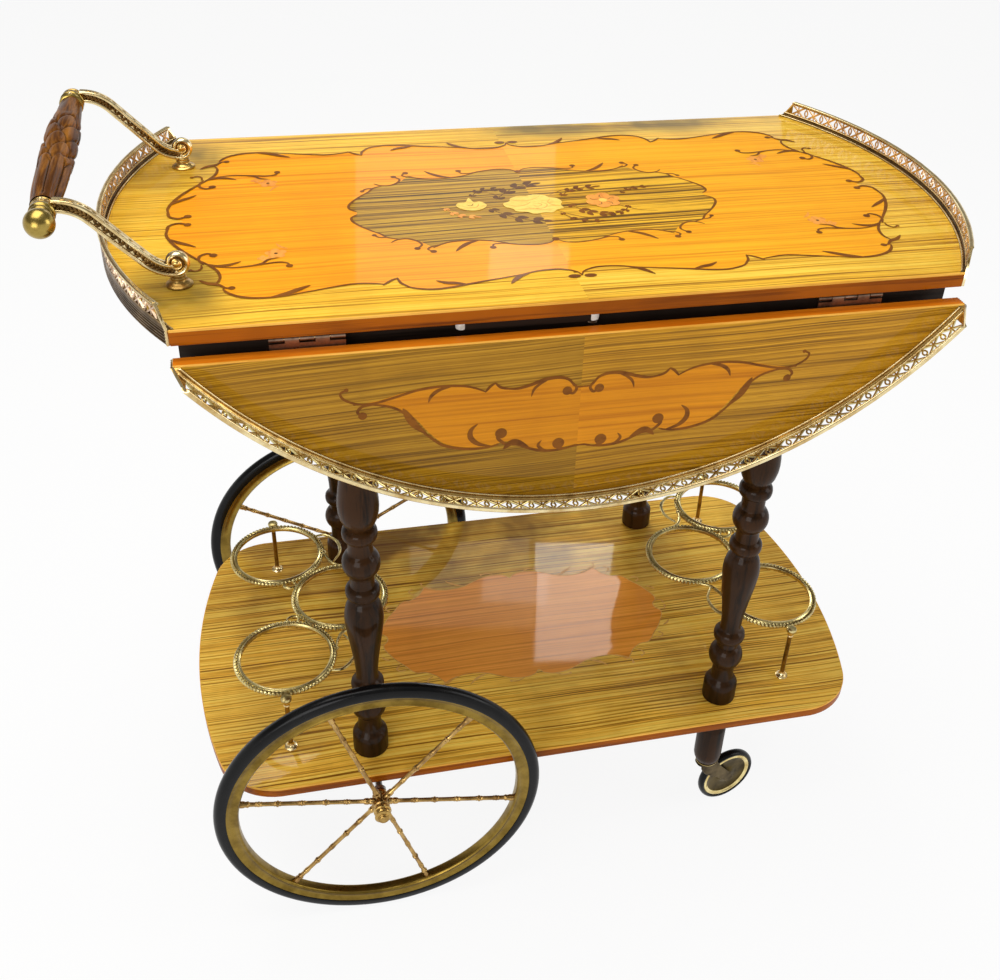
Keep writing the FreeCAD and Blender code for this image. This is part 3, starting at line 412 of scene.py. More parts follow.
LACQUER = {"Coat_IOR": 1.5, "Specular_IOR_Level": 0.05}
PLAIN = (1.0, 1.0, 1.0)


def top_painted_shade(f, x, y):
    """Painted shade and dark reflections round the handle's feet and along a part of the back edge."""
    foot_x, foot_y, rear_x = SHIFT - 0.334, 0.132, SHIFT + 0.14
    across = f.maths("SUBTRACT", f.maths("ABSOLUTE", y), foot_y)
    along = f.maths("SUBTRACT", x, foot_x)
    reach = f.maths("ADD", f.maths("MULTIPLY", across, across), f.maths("MULTIPLY", along, along))
    feet = f.level(f.maths("SQRT", reach), 0.078, 0.03)
    away = f.maths("ABSOLUTE", f.maths("SUBTRACT", x, rear_x))
    rear = f.maths("MULTIPLY", f.level(y, 0.155, 0.185), f.level(away, 0.19, 0.12))
    return f.maths("MAXIMUM", feet, rear)


def shelf_painted_shadow(f, x, y):
    """Painted shadow of the top: the shelf is darker behind its middle."""
    away = f.maths("ABSOLUTE", f.maths("ADD", x, 0.06 - SHIFT))
    return f.maths("MULTIPLY", f.level(y, 0.0, 0.12), f.level(away, 0.34, 0.16))


def veneer(
    name, light, middle, dark, across="Y", bands=300.0, sharp=1.0, tone=0.35, lean=0.0, seam=None,
    left=PLAIN, right=PLAIN, painted_shade_mask=None, painted_shade_colour=None, shade=None, gloss=0.28,
):
    """Striped veneer under gloss lacquer, its grain along X, in one sheet or two that meet at a seam."""
    light, middle, dark = (colour(*tint) for tint in (light, middle, dark))
    f = Finish(name, Coat_Weight=gloss, Coat_Roughness=0.05, **LACQUER)
    place = f.coordinates()
    parts = f.node("ShaderNodeSeparateXYZ")
    f.feed(parts.inputs[0], place)
    along, over = parts.outputs["X"], parts.outputs[across]
    # the grain wanders and leans a little
    drift = f.noise(f.scaled(place, (2.6, 4.0, 4.0)), 1.0, 2.0)
    over = f.maths("ADD", over, f.maths("MULTIPLY", f.maths("SUBTRACT", drift, 0.5), 0.02))
    over = f.maths("ADD", over, f.maths("MULTIPLY", along, lean))
    # the sheet beyond the seam takes its grain from another part of the noise
    sheet = 0.0
    if seam is not None:
        side = f.maths("GREATER_THAN", along, seam)
        sheet = f.maths("MULTIPLY", side, 7.3)

    def grain(run, cut, detail, rough):
        made = f.node("ShaderNodeCombineXYZ")
        f.feed(made.inputs[0], f.maths("MULTIPLY", along, run))
        f.feed(made.inputs[1], f.maths("MULTIPLY", over, cut))
        f.feed(made.inputs[2], sheet)
        return f.noise(made.outputs[0], 1.0, detail, rough)

    # narrow stripes and wider groups of them, then fine lines, pores and darker figure
    lines = f.level(grain(3.0, bands, 2.0, 0.6), 0.32, 0.66)
    groups = f.level(grain(1.6, bands * 0.24, 2.0, 0.5), 0.32, 0.68)
    share = f.maths("ADD", f.maths("MULTIPLY", lines, 0.72), f.maths("MULTIPLY", groups, 0.28))
    spread = 0.26 / sharp
    stops = [(max(0.44 - spread, 0.02), dark), (0.46, middle), (min(0.5 + spread, 0.98), light)]
    tint = f.ramp(share, stops)
    fine = grain(9.0, bands * 2.6, 2.0, 0.6)
    pores = grain(60.0, 1700.0, 1.0, 0.5)
    figure = f.level(f.noise(f.scaled(place, (9.0, 5.0, 5.0)), 1.0, 3.0, 0.55, 0.4), 0.44, 0.7, 0.0, tone)
    tint = f.mix(figure, tint, dark)
    tint = f.mix(f.level(fine, 0.3, 0.5, 0.34 * sharp, 0.0), tint, dark)
    tint = f.mix(f.level(pores, 0.6, 0.7, 0.0, 0.3), tint, dark)
    if seam is not None:
        tint = f.mix(1.0, tint, f.mix(side, (*left, 1.0), (*right, 1.0)), "MULTIPLY")
    # painted shade and dark reflections: patches where the mask asks, darkened towards the painted colour
    if painted_shade_mask:
        cloud = f.level(f.noise(place, 12.0, 3.0, 0.5, 0.3), 0.36, 0.6, 0.25, 0.85)
        share = f.maths("MULTIPLY", painted_shade_mask(f, along, parts.outputs["Y"]), cloud)
        tint = f.mix(share, tint, colour(*painted_shade_colour))
    # painted shade: darker towards the lower edge of the hanging leaf
    if shade:
        tint = f.mix(f.level(parts.outputs["Z"], 0.7, 0.56), tint, (*shade, 1.0), "MULTIPLY")
    f.set(Base_Color=tint, Roughness=f.level(fine, 0.2, 0.8, 0.32, 0.48))
    f.bump(fine, 0.00004, 0.25)
    f.bump(f.noise(place, 22.0, 2.0), 0.00012, 0.22, "Coat Normal")
    return f.material


def stained(name, base, deep, streak=(10.0, 10.0, 260.0), gloss=0.05, coat=0.22):
    """Plain stained wood, streaked along one direction."""
    base, deep = colour(*base), colour(*deep)
    f = Finish(name, Coat_Weight=coat, Coat_Roughness=gloss, **LACQUER)
    place = f.coordinates()
    streaks = f.noise(f.scaled(place, streak), 1.0, 4.0, 0.65)
    cloud = f.noise(f.scaled(place, (9.0, 9.0, 9.0)), 1.0, 3.0)
    tint = f.ramp(f.level(streaks, 0.3, 0.7), [(0.0, deep), (0.55, base), (1.0, base)])
    tint = f.mix(f.level(cloud, 0.4, 0.7, 0.0, 0.6), tint, deep)
    f.set(Base_Color=tint, Roughness=f.level(streaks, 0.2, 0.8, 0.3, 0.5))
    f.bump(streaks, 0.0001, 0.3)
    return f.material


def cast_brass(name, bright, worn, low=0.16, high=0.42, grain=240.0, relief=0.00008):
    """Brass with a patina in patches and small cast unevenness."""
    bright, worn = colour(*bright), colour(*worn)
    f = Finish(name, Metallic=1.0)
    place = f.coordinates()
    patches = f.noise(place, 46.0, 5.0, 0.68)
    tint = f.mix(f.level(patches, 0.38, 0.66), bright, worn)
    f.set(Base_Color=tint, Roughness=f.level(patches, 0.3, 0.7, low, high))
    f.bump(f.noise(place, grain, 3.0, 0.6), relief, 0.5)
    return f.material


def rubber(name):
    f = Finish(name, Specular_IOR_Level=0.17)
    place = f.coordinates()
    dust = f.noise(place, 30.0, 5.0, 0.7)
    tint = f.mix(f.level(dust, 0.45, 0.75, 0.0, 0.5), colour(10, 10, 11), colour(26, 24, 22))
    f.set(Base_Color=tint, Roughness=f.level(dust, 0.3, 0.7, 0.14, 0.3))
    f.bump(f.noise(place, 500.0, 2.0), 0.00003, 0.4)
    return f.material


def nylon(name):
    f = Finish(name, Specular_IOR_Level=0.4)
    marks = f.noise(f.coordinates(), 160.0, 3.0)
    tint = f.mix(f.level(marks, 0.5, 0.75), colour(232, 232, 226), colour(176, 170, 156))
    f.set(Base_Color=tint, Roughness=f.level(marks, 0.3, 0.7, 0.35, 0.55))
    return f.material


def carved_wood(name):
    """Red-brown walnut under thick lacquer, with painted shade in its carved hollows."""
    f = Finish(name, Coat_Weight=0.14, Coat_Roughness=0.07, Coat_IOR=1.5, Specular_IOR_Level=0.02)
    streaks = f.noise(f.scaled(f.coordinates(), (120.0, 11.0, 120.0)), 1.0, 4.0, 0.65, 0.6)
    painted_hollow_shade = f.node("ShaderNodeNewGeometry").outputs["Pointiness"]
    stops = [(0.0, colour(36, 17, 3)), (0.45, colour(87, 49, 13)), (1.0, colour(148, 95, 32))]
    tint = f.ramp(f.level(streaks, 0.28, 0.7), stops)
    # painted shade: near black in the carving's hollows
    tint = f.mix(f.level(painted_hollow_shade, 0.43, 0.51, 0.97, 0.0), tint, colour(18, 7, 2))
    f.set(Base_Color=tint, Roughness=f.level(streaks, 0.2, 0.8, 0.3, 0.45))
    return f.material


TOP_SEAM, LEAF_SEAM = SHIFT - 0.005, SHIFT - 0.01
M = {
    # the top's dark patches by the handle's feet and at the back are painted shade and dark reflections
    "top": veneer(
        "TopVeneer", (255, 212, 76), (248, 188, 50), (152, 104, 24), bands=420.0, sharp=0.85, tone=0.25,
        seam=TOP_SEAM, right=(0.98, 1.0, 1.1), painted_shade_mask=top_painted_shade, painted_shade_colour=(104, 86, 32),
    ),
    "field": veneer(
        "SatinField", (254, 176, 26), (250, 164, 16), (222, 132, 8), bands=260.0, sharp=0.75, tone=0.3,
        seam=TOP_SEAM, left=(1.0, 0.98, 0.9), right=(0.99, 1.09, 1.35),
    ),
    "medallion": veneer(
        "MedallionVeneer", (246, 190, 48), (216, 158, 32), (104, 72, 14), bands=280.0, sharp=1.3,
        tone=0.15, lean=-0.04, seam=TOP_SEAM, left=(0.66, 0.68, 0.8),
    ),
    # The leaf's veneer is the top's wood in darker colours, partly its own tone and partly painted shade on a
    # face that hangs out of the light.
    "leaf": veneer(
        "LeafVeneer", (206, 152, 40), (180, 128, 26), (116, 78, 12), across="Z", bands=560.0, sharp=0.85,
        tone=0.3, lean=-0.03, seam=LEAF_SEAM, left=(0.9, 0.9, 0.84), right=(1.2, 1.16, 0.94),
        shade=(0.66, 0.66, 0.5),
    ),
    "cartouche": veneer(
        "SatinCartouche", (222, 144, 14), (210, 132, 8), (180, 104, 4), across="Z", bands=260.0, sharp=0.7,
        tone=0.3, seam=LEAF_SEAM, left=(0.92, 0.92, 0.92),
    ),
    # the shelf's darker part behind its middle is the top's painted shadow
    "shelf": veneer(
        "ShelfVeneer", (255, 216, 96), (240, 180, 60), (120, 76, 20), bands=400.0, tone=0.34,
        painted_shade_mask=shelf_painted_shadow, painted_shade_colour=(92, 56, 14), gloss=0.5,
    ),
    "shelf_inlay": veneer(
        "SatinShelf", (246, 164, 60), (232, 148, 42), (196, 114, 24), sharp=0.8, tone=0.4, gloss=0.5
    ),
    "under": stained("UnderVeneer", (120, 76, 36), (84, 50, 20), (6.0, 240.0, 240.0), 0.3, 0.15),
    "edge": stained("EdgeBand", (168, 88, 4), (110, 52, 1), (7.0, 150.0, 300.0), 0.1, 0.1),
    # painted light: the leaf's edge band is a lighter copy of the edge wood, lit from above though it lies in
    # the top's shadow
    "lit_leaf_edge": stained("LitLeafEdgeBand", (224, 126, 22), (180, 90, 8), (7.0, 150.0, 300.0), 0.1, 0.1),
    "edge_line": stained("EdgeLine", (240, 182, 80), (208, 144, 46), (9.0, 200.0, 200.0), 0.1, 0.1),
    "scroll": stained("ScrollVeneer", (136, 80, 14), (98, 54, 6), (60.0, 160.0, 160.0), 0.06),
    "pale": stained("PaleVeneer", (250, 214, 104), (226, 178, 62), (90.0, 240.0, 60.0), 0.06),
    "shelf_line": stained("ShelfLine", (222, 168, 88), (186, 128, 54), (60.0, 160.0, 60.0), 0.06),
    "petal": stained("PetalVeneer", (246, 168, 74), (214, 126, 44), (200.0, 80.0, 60.0), 0.06),
    "plum": stained("PlumVeneer", (112, 72, 26), (76, 44, 12), (80.0, 200.0, 60.0), 0.06),
    "leg": stained("LegStain", (58, 34, 12), (18, 10, 3), (130.0, 130.0, 9.0), 0.05, 0.18),
    "frame": stained("FrameStain", (44, 34, 28), (24, 18, 14), (8.0, 200.0, 200.0), 0.3, 0.12),
    "carved": carved_wood("CarvedWalnut"),
    "brass": cast_brass("CastBrass", (214, 178, 104), (120, 86, 38)),
    "bright": cast_brass("BrightBrass", (244, 226, 176), (196, 162, 100), 0.16, 0.34),
    "dull": cast_brass("DullBrass", (164, 130, 62), (84, 60, 24), 0.26, 0.5),
    "rim": cast_brass("RimBrass", (146, 120, 54), (110, 88, 36), 0.26, 0.4, 90.0, 0.00004),
    "knob": cast_brass("KnobBrass", (170, 146, 76), (122, 98, 44), 0.2, 0.36, 90.0, 0.00004),
    "spoke": cast_brass("SpokeBrass", (198, 162, 98), (120, 86, 46), 0.18, 0.38),
    "bronze": cast_brass("CasterBronze", (104, 88, 56), (58, 46, 26), 0.3, 0.55, 120.0),
    "disc": cast_brass("CasterDisc", (88, 73, 36), (50, 40, 18), 0.28, 0.5, 90.0),
    "pale_brass": cast_brass("PaleBrass", (226, 210, 148), (160, 138, 84), 0.18, 0.36),
    "aged": cast_brass("AgedBrass", (120, 92, 52), (60, 44, 22), 0.24, 0.5),
    "lattice": cast_brass("LatticeBrass", (236, 208, 176), (176, 146, 116), 0.2, 0.4),
    "gilt": cast_brass("GiltRoll", (240, 222, 160), (186, 156, 88), 0.12, 0.28),
    "steel": cast_brass("Steel", (196, 196, 196), (120, 118, 114), 0.24, 0.44),
    "hinge": cast_brass("HingePlate", (168, 140, 118), (96, 76, 62), 0.24, 0.44),
    "tyre": rubber("TyreRubber"),
    "nylon": nylon("GlideNylon"),
}


# marquetry


PEN = 0.37  # a stroke's half width at its fullest, as a share of the width that is written for it
LAYER = 0.004  # how far each sheet or stroke lies above the one before


class Inlay(Shape):
    """Sheets and strokes of veneer let into a face, each a hair above the one before."""

    def __init__(self, lift=0.06):
        super().__init__()
        self.lift = lift

    def rise(self):
        self.lift += LAYER
        return self.lift

    def sheet(self, outline, slot=0):
        return self.fill(outline, self.rise(), slot)

    def dot(self, x, y, radius, slot=0, long=1.0, turn=0.0):
        c, s = cos(turn), sin(turn)
        outline = []
        for angle in turns(20):
            u, v = radius * long * cos(angle), radius * sin(angle)
            outline.append((x + u * c - v * s, y + u * s + v * c))
        return self.sheet(outline, slot)

    def stroke(self, points, width, slot=0, start=0.35, end=0.35):
        """A pen stroke that swells to its full width and thins to a share of it at each end."""
        line = smooth(points, 7)
        count = len(line)
        left, right = [], []
        for i, (x, y) in enumerate(line):
            ahead = Vector(line[min(i + 1, count - 1)]) - Vector(line[max(i - 1, 0)])
            normal = Vector((-ahead.y, ahead.x)).normalized()
            t = i / (count - 1)
            thin = start + (end - start) * t
            half = width * PEN * (thin + (1 - thin) * sin(pi * t) ** 0.8)
            left.append((x + normal.x * half, y + normal.y * half))
            right.append((x - normal.x * half, y - normal.y * half))
        height = self.rise()
        rows = [[(*a, height), (*b, height)] for a, b in zip(left, right)]
        return self.skin(rows, ring=False, slot=slot)

    def leaf(self, points, width, slot=0):
        return self.stroke(points, width, slot, 0.0, 0.0)

    def curl(self, points, width, ball):
        """A stroke that ends in a ball."""
        self.stroke(points, width, 0, 0.4, 0.8)
        return self.dot(*points[-1], ball)

    def mirrored(self, draw, x=0.0, y=0.0, both=True):
        """Draws the same things in all quarters about a centre, or in both halves."""
        for side in (1, -1):
            for end in (1, -1) if both else (1,):
                draw(lambda points: [(x + u * side, y + v * end) for u, v in points])
        return self


FIELD_CENTRE = (1.0, -3.0)
FIELD_QUARTER = [
    (-1, -158), (3, -151), (11, -145), (20, -143), (35, -144), (50, -148), (65, -151), (80, -154),
    (95, -158), (112, -162), (128, -163), (143, -159), (151, -151), (154, -142), (160, -144),
    (167, -149), (175, -147), (190, -145), (207, -148), (226, -152), (245, -156), (262, -158),
    (279, -156), (290, -149), (295, -140), (298, -129), (297, -118), (299, -106), (305, -95),
    (312, -86), (320, -75), (329, -60), (336, -46), (341, -30), (341, -16), (336, -6), (329, 0),
]
MEDALLION_CENTRE = (-4.0, -6.5)
MEDALLION_QUARTER = [
    (0, -80), (5, -85), (16, -88.5), (33, -87), (48, -81), (62, -74.5), (78, -72), (92, -73),
    (103, -78), (110, -82), (115, -76), (121, -68), (132, -61), (142, -60), (149, -54), (154, -47),
    (162, -38), (168, -29), (174, -18), (175, -10), (170, -4), (169, 0),
]


def outline_of(quarter, centre, scale=(1.0, 1.0)):
    points = [(centre[0] + x * scale[0], centre[1] + y * scale[1]) for x, y in mirrored_outline(quarter)]
    return smooth(points, 5, closed=True)


def field_scrolls(inlay):
    def quarter(q):
        middle = [(0, -157), (3, -150), (11, -145), (20, -143), (36, -144), (52, -149), (68, -152)]
        inlay.stroke(q(middle), 3.2)
        lobe = [(60, -151), (80, -155), (97, -159), (114, -163), (130, -164), (145, -159), (153, -150)]
        inlay.stroke(q(lobe), 4.0)
        inlay.stroke(q([(147, -157), (153, -149), (155, -139)]), 3.4)
        inlay.leaf(q([(42, -146), (52, -151), (58, -157), (63, -164)]), 6.5)
        inlay.dot(*q([(7, -158)])[0], 3.2, long=1.7)
        inlay.leaf(q([(98, -160), (108, -156), (116, -154), (124, -149)]), 6.5)
        inlay.stroke(q([(155, -140), (161, -144), (168, -151)]), 3.4)
        inlay.stroke(q([(165, -150), (175, -147), (190, -145), (207, -148), (227, -153), (245, -157)]), 3.0)
        inlay.stroke(q([(238, -156), (256, -159), (272, -158), (285, -153), (293, -145), (296, -138)]), 4.6)
        inlay.leaf(q([(226, -142), (236, -148), (246, -154), (260, -159)]), 7.5)
        inlay.curl(q([(298, -133), (294, -137), (289, -138)]), 3.2, 3.0)
        inlay.leaf(q([(294, -136), (301, -130), (308, -127), (315, -120)]), 6.5)
        inlay.stroke(q([(302, -130), (298, -119), (300, -106), (306, -95), (313, -85)]), 3.8)
        inlay.curl(q([(311, -92), (315, -83), (314, -75), (308, -71), (303, -75)]), 3.8, 3.4)
        inlay.curl(q([(313, -92), (313, -99), (317, -103), (322, -101)]), 3.0, 1.9)
        inlay.stroke(q([(310, -90), (320, -76), (330, -61), (338, -45), (343, -28), (341, -13)]), 4.4)
        inlay.curl(q([(343, -20), (341, -10), (333, -5), (325, -9)]), 4.2, 3.4)
        inlay.leaf(q([(342, -36), (334, -44), (326, -50), (317, -57)]), 6.0)
        inlay.leaf(q([(309, -91), (300, -96), (290, -95), (280, -90)]), 6.0)
        inlay.curl(q([(303, -97), (286, -101), (268, -99), (252, -96), (243, -98), (241, -104)]), 3.0, 3.0)
        inlay.leaf(q([(272, -99), (263, -96), (258, -90), (248, -87)]), 3.4)

    return inlay.mirrored(quarter, *FIELD_CENTRE)


def medallion_scrolls(inlay):
    def quarter(q):
        inlay.curl(q([(2, -82), (8, -87), (20, -89), (36, -86), (48, -82), (57, -83), (59, -89)]), 2.8, 3.0)
        inlay.stroke(q([(44, -82), (60, -75), (76, -72), (92, -72.5), (104, -77), (111, -83)]), 3.2)
        inlay.leaf(q([(68, -73), (78, -77), (86, -84), (93, -93)]), 6.5)
        inlay.curl(q([(104, -77), (112, -80), (116, -85), (112, -90)]), 2.8, 3.0)
        inlay.curl(q([(146, -67), (140, -62), (131, -61), (123, -67), (120, -75), (125, -82)]), 3.2, 2.8)
        inlay.stroke(q([(138, -61), (148, -56), (153, -48), (162, -39)]), 3.0)
        inlay.curl(q([(148, -56), (155, -55), (159, -50)]), 2.8, 2.2)
        inlay.stroke(q([(156, -45), (166, -33), (174, -20), (175, -10), (169, -3)]), 3.6)

    inlay.mirrored(quarter, *MEDALLION_CENTRE)
    x, y = MEDALLION_CENTRE
    inlay.dot(x, y + 80, 3.4)
    return inlay.dot(x, y - 80, 3.4)


def petals(inlay, x, y, radius, count, slot, turn, size):
    """A ring of round petals, each with its radius as a share of the ring's."""
    for step in turns(count):
        inlay.dot(*polar(x, y, radius * 0.6, turn + step), radius * size, slot, 1.12, turn + step)
    return inlay


def spray(inlay, points, width, slot):
    """A stem with pairs of small leaves and one at its tip."""
    line = smooth(points, 4)
    inlay.stroke(points, 1.5, slot)
    for i in range(1, len(line), 3):
        here = Vector(line[i])
        ahead = (here - Vector(line[i - 1])).normalized()
        off = Vector((-ahead.y, ahead.x))
        size = width * (0.75 if i < 4 else 1.0)
        for side in (1, -1):
            bend = here + (ahead * 0.25 + off * 0.3 * side) * size
            tip = here + (ahead * 0.75 + off * 0.5 * side) * size
            inlay.leaf([tuple(here), tuple(bend), tuple(tip)], size * 0.75, slot)
    end = Vector(line[-1])
    ahead = (end - Vector(line[-2])).normalized()
    tip = [end - ahead * 2, end + ahead * width * 0.35, end + ahead * width * 0.8]
    inlay.leaf([tuple(p) for p in tip], width * 0.5, slot)


def flowers(inlay):
    """A rose, a bud and an open flower among leaves. Slots: 0 brown, 1 pale, 2 orange, 3 plum."""
    stems = [
        ([(-96, -4), (-84, -12), (-66, -14), (-46, -9), (-30, -8)], 1.8),
        ([(18, -4), (34, -12), (50, -12), (66, -6), (84, -12)], 1.8),
        ([(14, 12), (30, 22), (46, 24), (60, 30)], 1.6),
        ([(10, -22), (26, -38), (42, -46), (56, -44)], 1.6),
        ([(60, -8), (78, -24), (92, -34), (108, -38)], 1.6),
        ([(-30, 14), (-44, 24), (-58, 27)], 1.4),
        ([(62, 4), (80, 14), (98, 16), (110, 12)], 1.4),
    ]
    for points, width in stems:
        inlay.stroke(points, width, 0)
    leaves = [
        ([(-40, 6), (-28, 22), (-12, 36), (2, 40)], 13.0, 3),
        ([(-50, -12), (-40, -26), (-24, -40), (-6, -46)], 12.0, 3),
        ([(-62, 16), (-56, 26), (-46, 32), (-34, 32)], 8.0, 3),
        ([(26, -12), (36, -26), (44, -34), (58, -40)], 10.0, 0),
        ([(24, 6), (34, 18), (46, 24), (62, 26)], 9.0, 0),
        ([(84, -22), (78, -32), (70, -38), (60, -40)], 7.0, 0),
        ([(84, 6), (92, 14), (102, 18), (114, 20)], 6.0, 0),
        ([(-92, -6), (-86, -18), (-78, -26), (-66, -30)], 7.0, 2),
        ([(14, -30), (22, -44), (34, -52), (48, -54)], 6.0, 0),
    ]
    for points, width, slot in leaves:
        spray(inlay, points, width, slot)
    rose = [
        (22, -6), (19, 2), (12, 5), (8, 11), (-2, 14), (-10, 11), (-18, 12), (-26, 7), (-28, 1), (-35, -4),
        (-34, -12), (-28, -17), (-26, -23), (-16, -26), (-10, -31), (0, -29), (7, -30), (13, -24),
        (20, -21), (19, -13),
    ]
    inlay.sheet(smooth(rose, 4, closed=True), 1)
    folds = [
        [(-33, -6), (-24, -11), (-14, -9), (-8, -3)],
        [(-26, 5), (-17, 0), (-6, 2), (4, 10)],
        [(-25, -20), (-14, -19), (-2, -22), (10, -27)],
        [(19, -17), (12, -13), (8, -6), (12, 2)],
        [(-14, -14), (-8, -19), (2, -18), (6, -11), (2, -5)],
        [(-8, -10), (-4, -14), (1, -11), (-2, -6)],
    ]
    for points in folds:
        inlay.stroke(points, 1.5, 2)
    bud = [
        (-80, -4), (-74, -13), (-64, -16), (-55, -12), (-51, -4), (-56, 4), (-62, 3), (-65, 14), (-70, 4),
        (-77, 3),
    ]
    inlay.sheet(smooth(bud, 4, closed=True), 1)
    inlay.stroke([(-75, -4), (-69, -9), (-61, -8), (-58, -1)], 1.4, 2)
    inlay.stroke([(-70, -2), (-66, -5), (-63, 0)], 1.3, 0)
    x, y = 62, -8
    petals(inlay, x, y, 16, 6, 2, 0.3, 0.46)
    inlay.dot(x, y, 4.0, 1)
    for turn in (0.2, 1.5, 2.7, 4.1, 5.3):
        c, d = cos(turn), sin(turn)
        bend = (x + 9 * c - 2 * d, y + 9 * d + 2 * c)
        inlay.stroke([(x + 5 * c, y + 5 * d), bend, (x + 13 * c, y + 13 * d)], 1.0, 3)
    return inlay


def side_flowers(inlay):
    """A small open flower with leaves at each corner sprig of the field."""

    def quarter(q):
        (x, y), (u, v) = q([(251, -78), (262, -86)])
        petals(inlay, x, y, 9, 5, 0, 0.4, 0.42)
        petals(inlay, u, v, 5, 4, 0, 0.1, 0.42)
        inlay.dot(x, y, 1.6, 1)
        inlay.leaf(q([(240, -70), (246, -66), (250, -58)]), 4.0, 0)

    return inlay.mirrored(quarter, *FIELD_CENTRE)


CARTOUCHE_X = -8.0
CARTOUCHE_HALF = [
    (0, 50), (7, 48), (13, 41), (22, 39), (34, 40), (46, 44), (58, 46), (68, 45), (75.5, 40),
    (84.5, 46.5), (95, 41), (108, 38.5), (124, 37.5), (140, 39), (156, 42), (170, 46), (184, 48.5),
    (172, 51), (158, 55), (144, 66), (132, 82), (119, 95), (101, 101.5), (83, 103), (68, 99), (58, 101),
    (50, 106), (38, 111), (22, 112), (10, 110), (0, 110),
]


def cartouche_scrolls(inlay):
    def half(q):
        edge = [(84, 47), (94, 42), (106, 39), (124, 38), (142, 40), (160, 45), (178, 49), (192, 48)]
        inlay.curl(q(edge), 3.4, 1.4)
        inlay.curl(q([(176, 49), (190, 48), (200, 43), (203, 37), (198, 34)]), 3.0, 1.8)
        inlay.stroke(q([(84.5, 47.5), (80, 42), (75.5, 39)]), 3.4)
        inlay.stroke(q([(76, 39), (71, 44), (62, 46.5)]), 3.4)
        inlay.stroke(q([(68, 45.5), (57, 46.5), (46, 44), (34, 40), (22, 39), (13, 42), (8, 49)]), 4.6)
        inlay.curl(q([(10, 45), (6, 51), (9, 56), (14, 53)]), 3.6, 4.2)
        inlay.leaf(q([(30, 40), (38, 44), (43, 49), (45, 56)]), 3.6)
        inlay.leaf(q([(112, 39), (122, 41), (129, 46), (132, 53)]), 4.6)
        inlay.curl(q([(176, 50), (186, 51), (190, 56), (186, 60)]), 3.4, 3.6)
        inlay.stroke(q([(186, 49), (172, 51), (160, 55), (151, 62), (145, 70)]), 3.2)
        inlay.leaf(q([(153, 56), (149, 64), (143, 74), (133, 84)]), 9.0)
        inlay.stroke(q([(142, 75), (132, 86), (119, 97), (101, 102.5), (84, 103.5), (72, 101)]), 3.8)
        inlay.leaf(q([(90, 78), (96, 84), (96, 92), (89, 99), (76, 103)]), 6.5)
        inlay.curl(q([(62, 104), (68, 100), (73, 94), (70, 90)]), 4.0, 5.2)
        inlay.leaf(q([(68, 107), (61, 101), (54, 102), (44, 109)]), 9.0)
        inlay.stroke(q([(56, 103), (46, 108), (34, 112), (20, 113), (6, 111)]), 3.8)
        inlay.leaf(q([(34, 101), (37, 106), (33, 111), (28, 112)]), 4.0)
        inlay.curl(q([(14, 112), (20, 110), (19, 106)]), 4.0, 5.4)
        inlay.stroke(q([(8, 49), (4, 50), (-1, 50)]), 2.4)
        inlay.stroke(q([(10, 111), (4, 110), (-1, 110)]), 2.6)

    return inlay.mirrored(half, CARTOUCHE_X, 0.0, both=False)


SHELF_CENTRE = (5.0, -4.0)


def shelf_scrolls(inlay):
    """A line round the panel with small curls at its lobes."""

    def quarter(q):
        inlay.curl(q([(94, -74), (104, -79), (111, -84), (112, -90)]), 2.4, 1.6)
        inlay.curl(q([(122, -70), (127, -73), (129, -78), (125, -81)]), 2.2, 1.5)
        inlay.curl(q([(150, -54), (157, -55), (161, -51), (158, -47)]), 2.2, 1.6)
        inlay.leaf(q([(60, -76), (68, -79), (76, -84), (82, -90)]), 4.0)
        inlay.leaf(q([(166, -36), (172, -33), (176, -28)]), 3.4)
        inlay.curl(q([(171, -8), (177, -8), (179, -3)]), 2.2, 1.6)
        inlay.curl(q([(18, -90), (27, -94), (35, -93)]), 2.2, 1.6)

    return inlay.mirrored(quarter, *SHELF_CENTRE)


def banded(inlay, outline, width):
    """A narrow line of veneer along an outline."""
    inner = inset(outline, width)
    height = inlay.rise()
    rows = [[(*a, height), (*b, height)] for a, b in zip(outline, inner)]
    return inlay.skin(rows, ring=False, loop=True)


# boards


def slab(outline, thickness, arris=0.9):
    """A board from height 0 down. Slots: 0 face, 1 edge, 2 line under the face, 3 underside."""
    shape = Shape()
    line = -2.0
    quarter = [pi / 2 * i / 3 for i in range(4)]
    upper = [(arris * (1 - sin(a)), arris * (cos(a) - 1)) for a in quarter]
    lower = [(a, -thickness - b) for a, b in upper[::-1]]
    for slot, side in ((2, upper), (2, [(0, upper[-1][1]), (0, line)]), (1, [(0, line)] + lower)):
        shape.skin([[(x, y, h) for x, y in inset(outline, a)] for a, h in side], slot=slot)
    face = inset(outline, upper[0][0])
    shape.fill(face, 0.0, 0)
    shape.fill(face, -thickness, 3)
    return shape


def on_top(x, y, h):
    return x, y, TOP + h


def on_shelf(x, y, h):
    return x, y, SHELF + h


def on_leaf(x, depth, h):
    """A place on the front leaf's outer face, from its distance below the leaf's edge."""
    return x, LEAF_FACE - h, LEAF_EDGE - depth


def on_back_leaf(x, depth, h):
    return back_of(*on_leaf(x, depth, h))


def top_outline():
    swing = math.degrees(math.asin(TOP_HALF[1] / END_R))
    right = arc((END_CENTRE, 0), END_R, -swing, swing, 72)
    return right + [(-x, -y) for x, y in right]


def leaf_outline():
    """Runs anticlockwise with the depth as its second coordinate."""
    swing = math.degrees(math.acos(LEAF_CHORD / LEAF_R))
    return arc((0, -LEAF_CHORD), LEAF_R, 90 - swing, 90 + swing, 96)


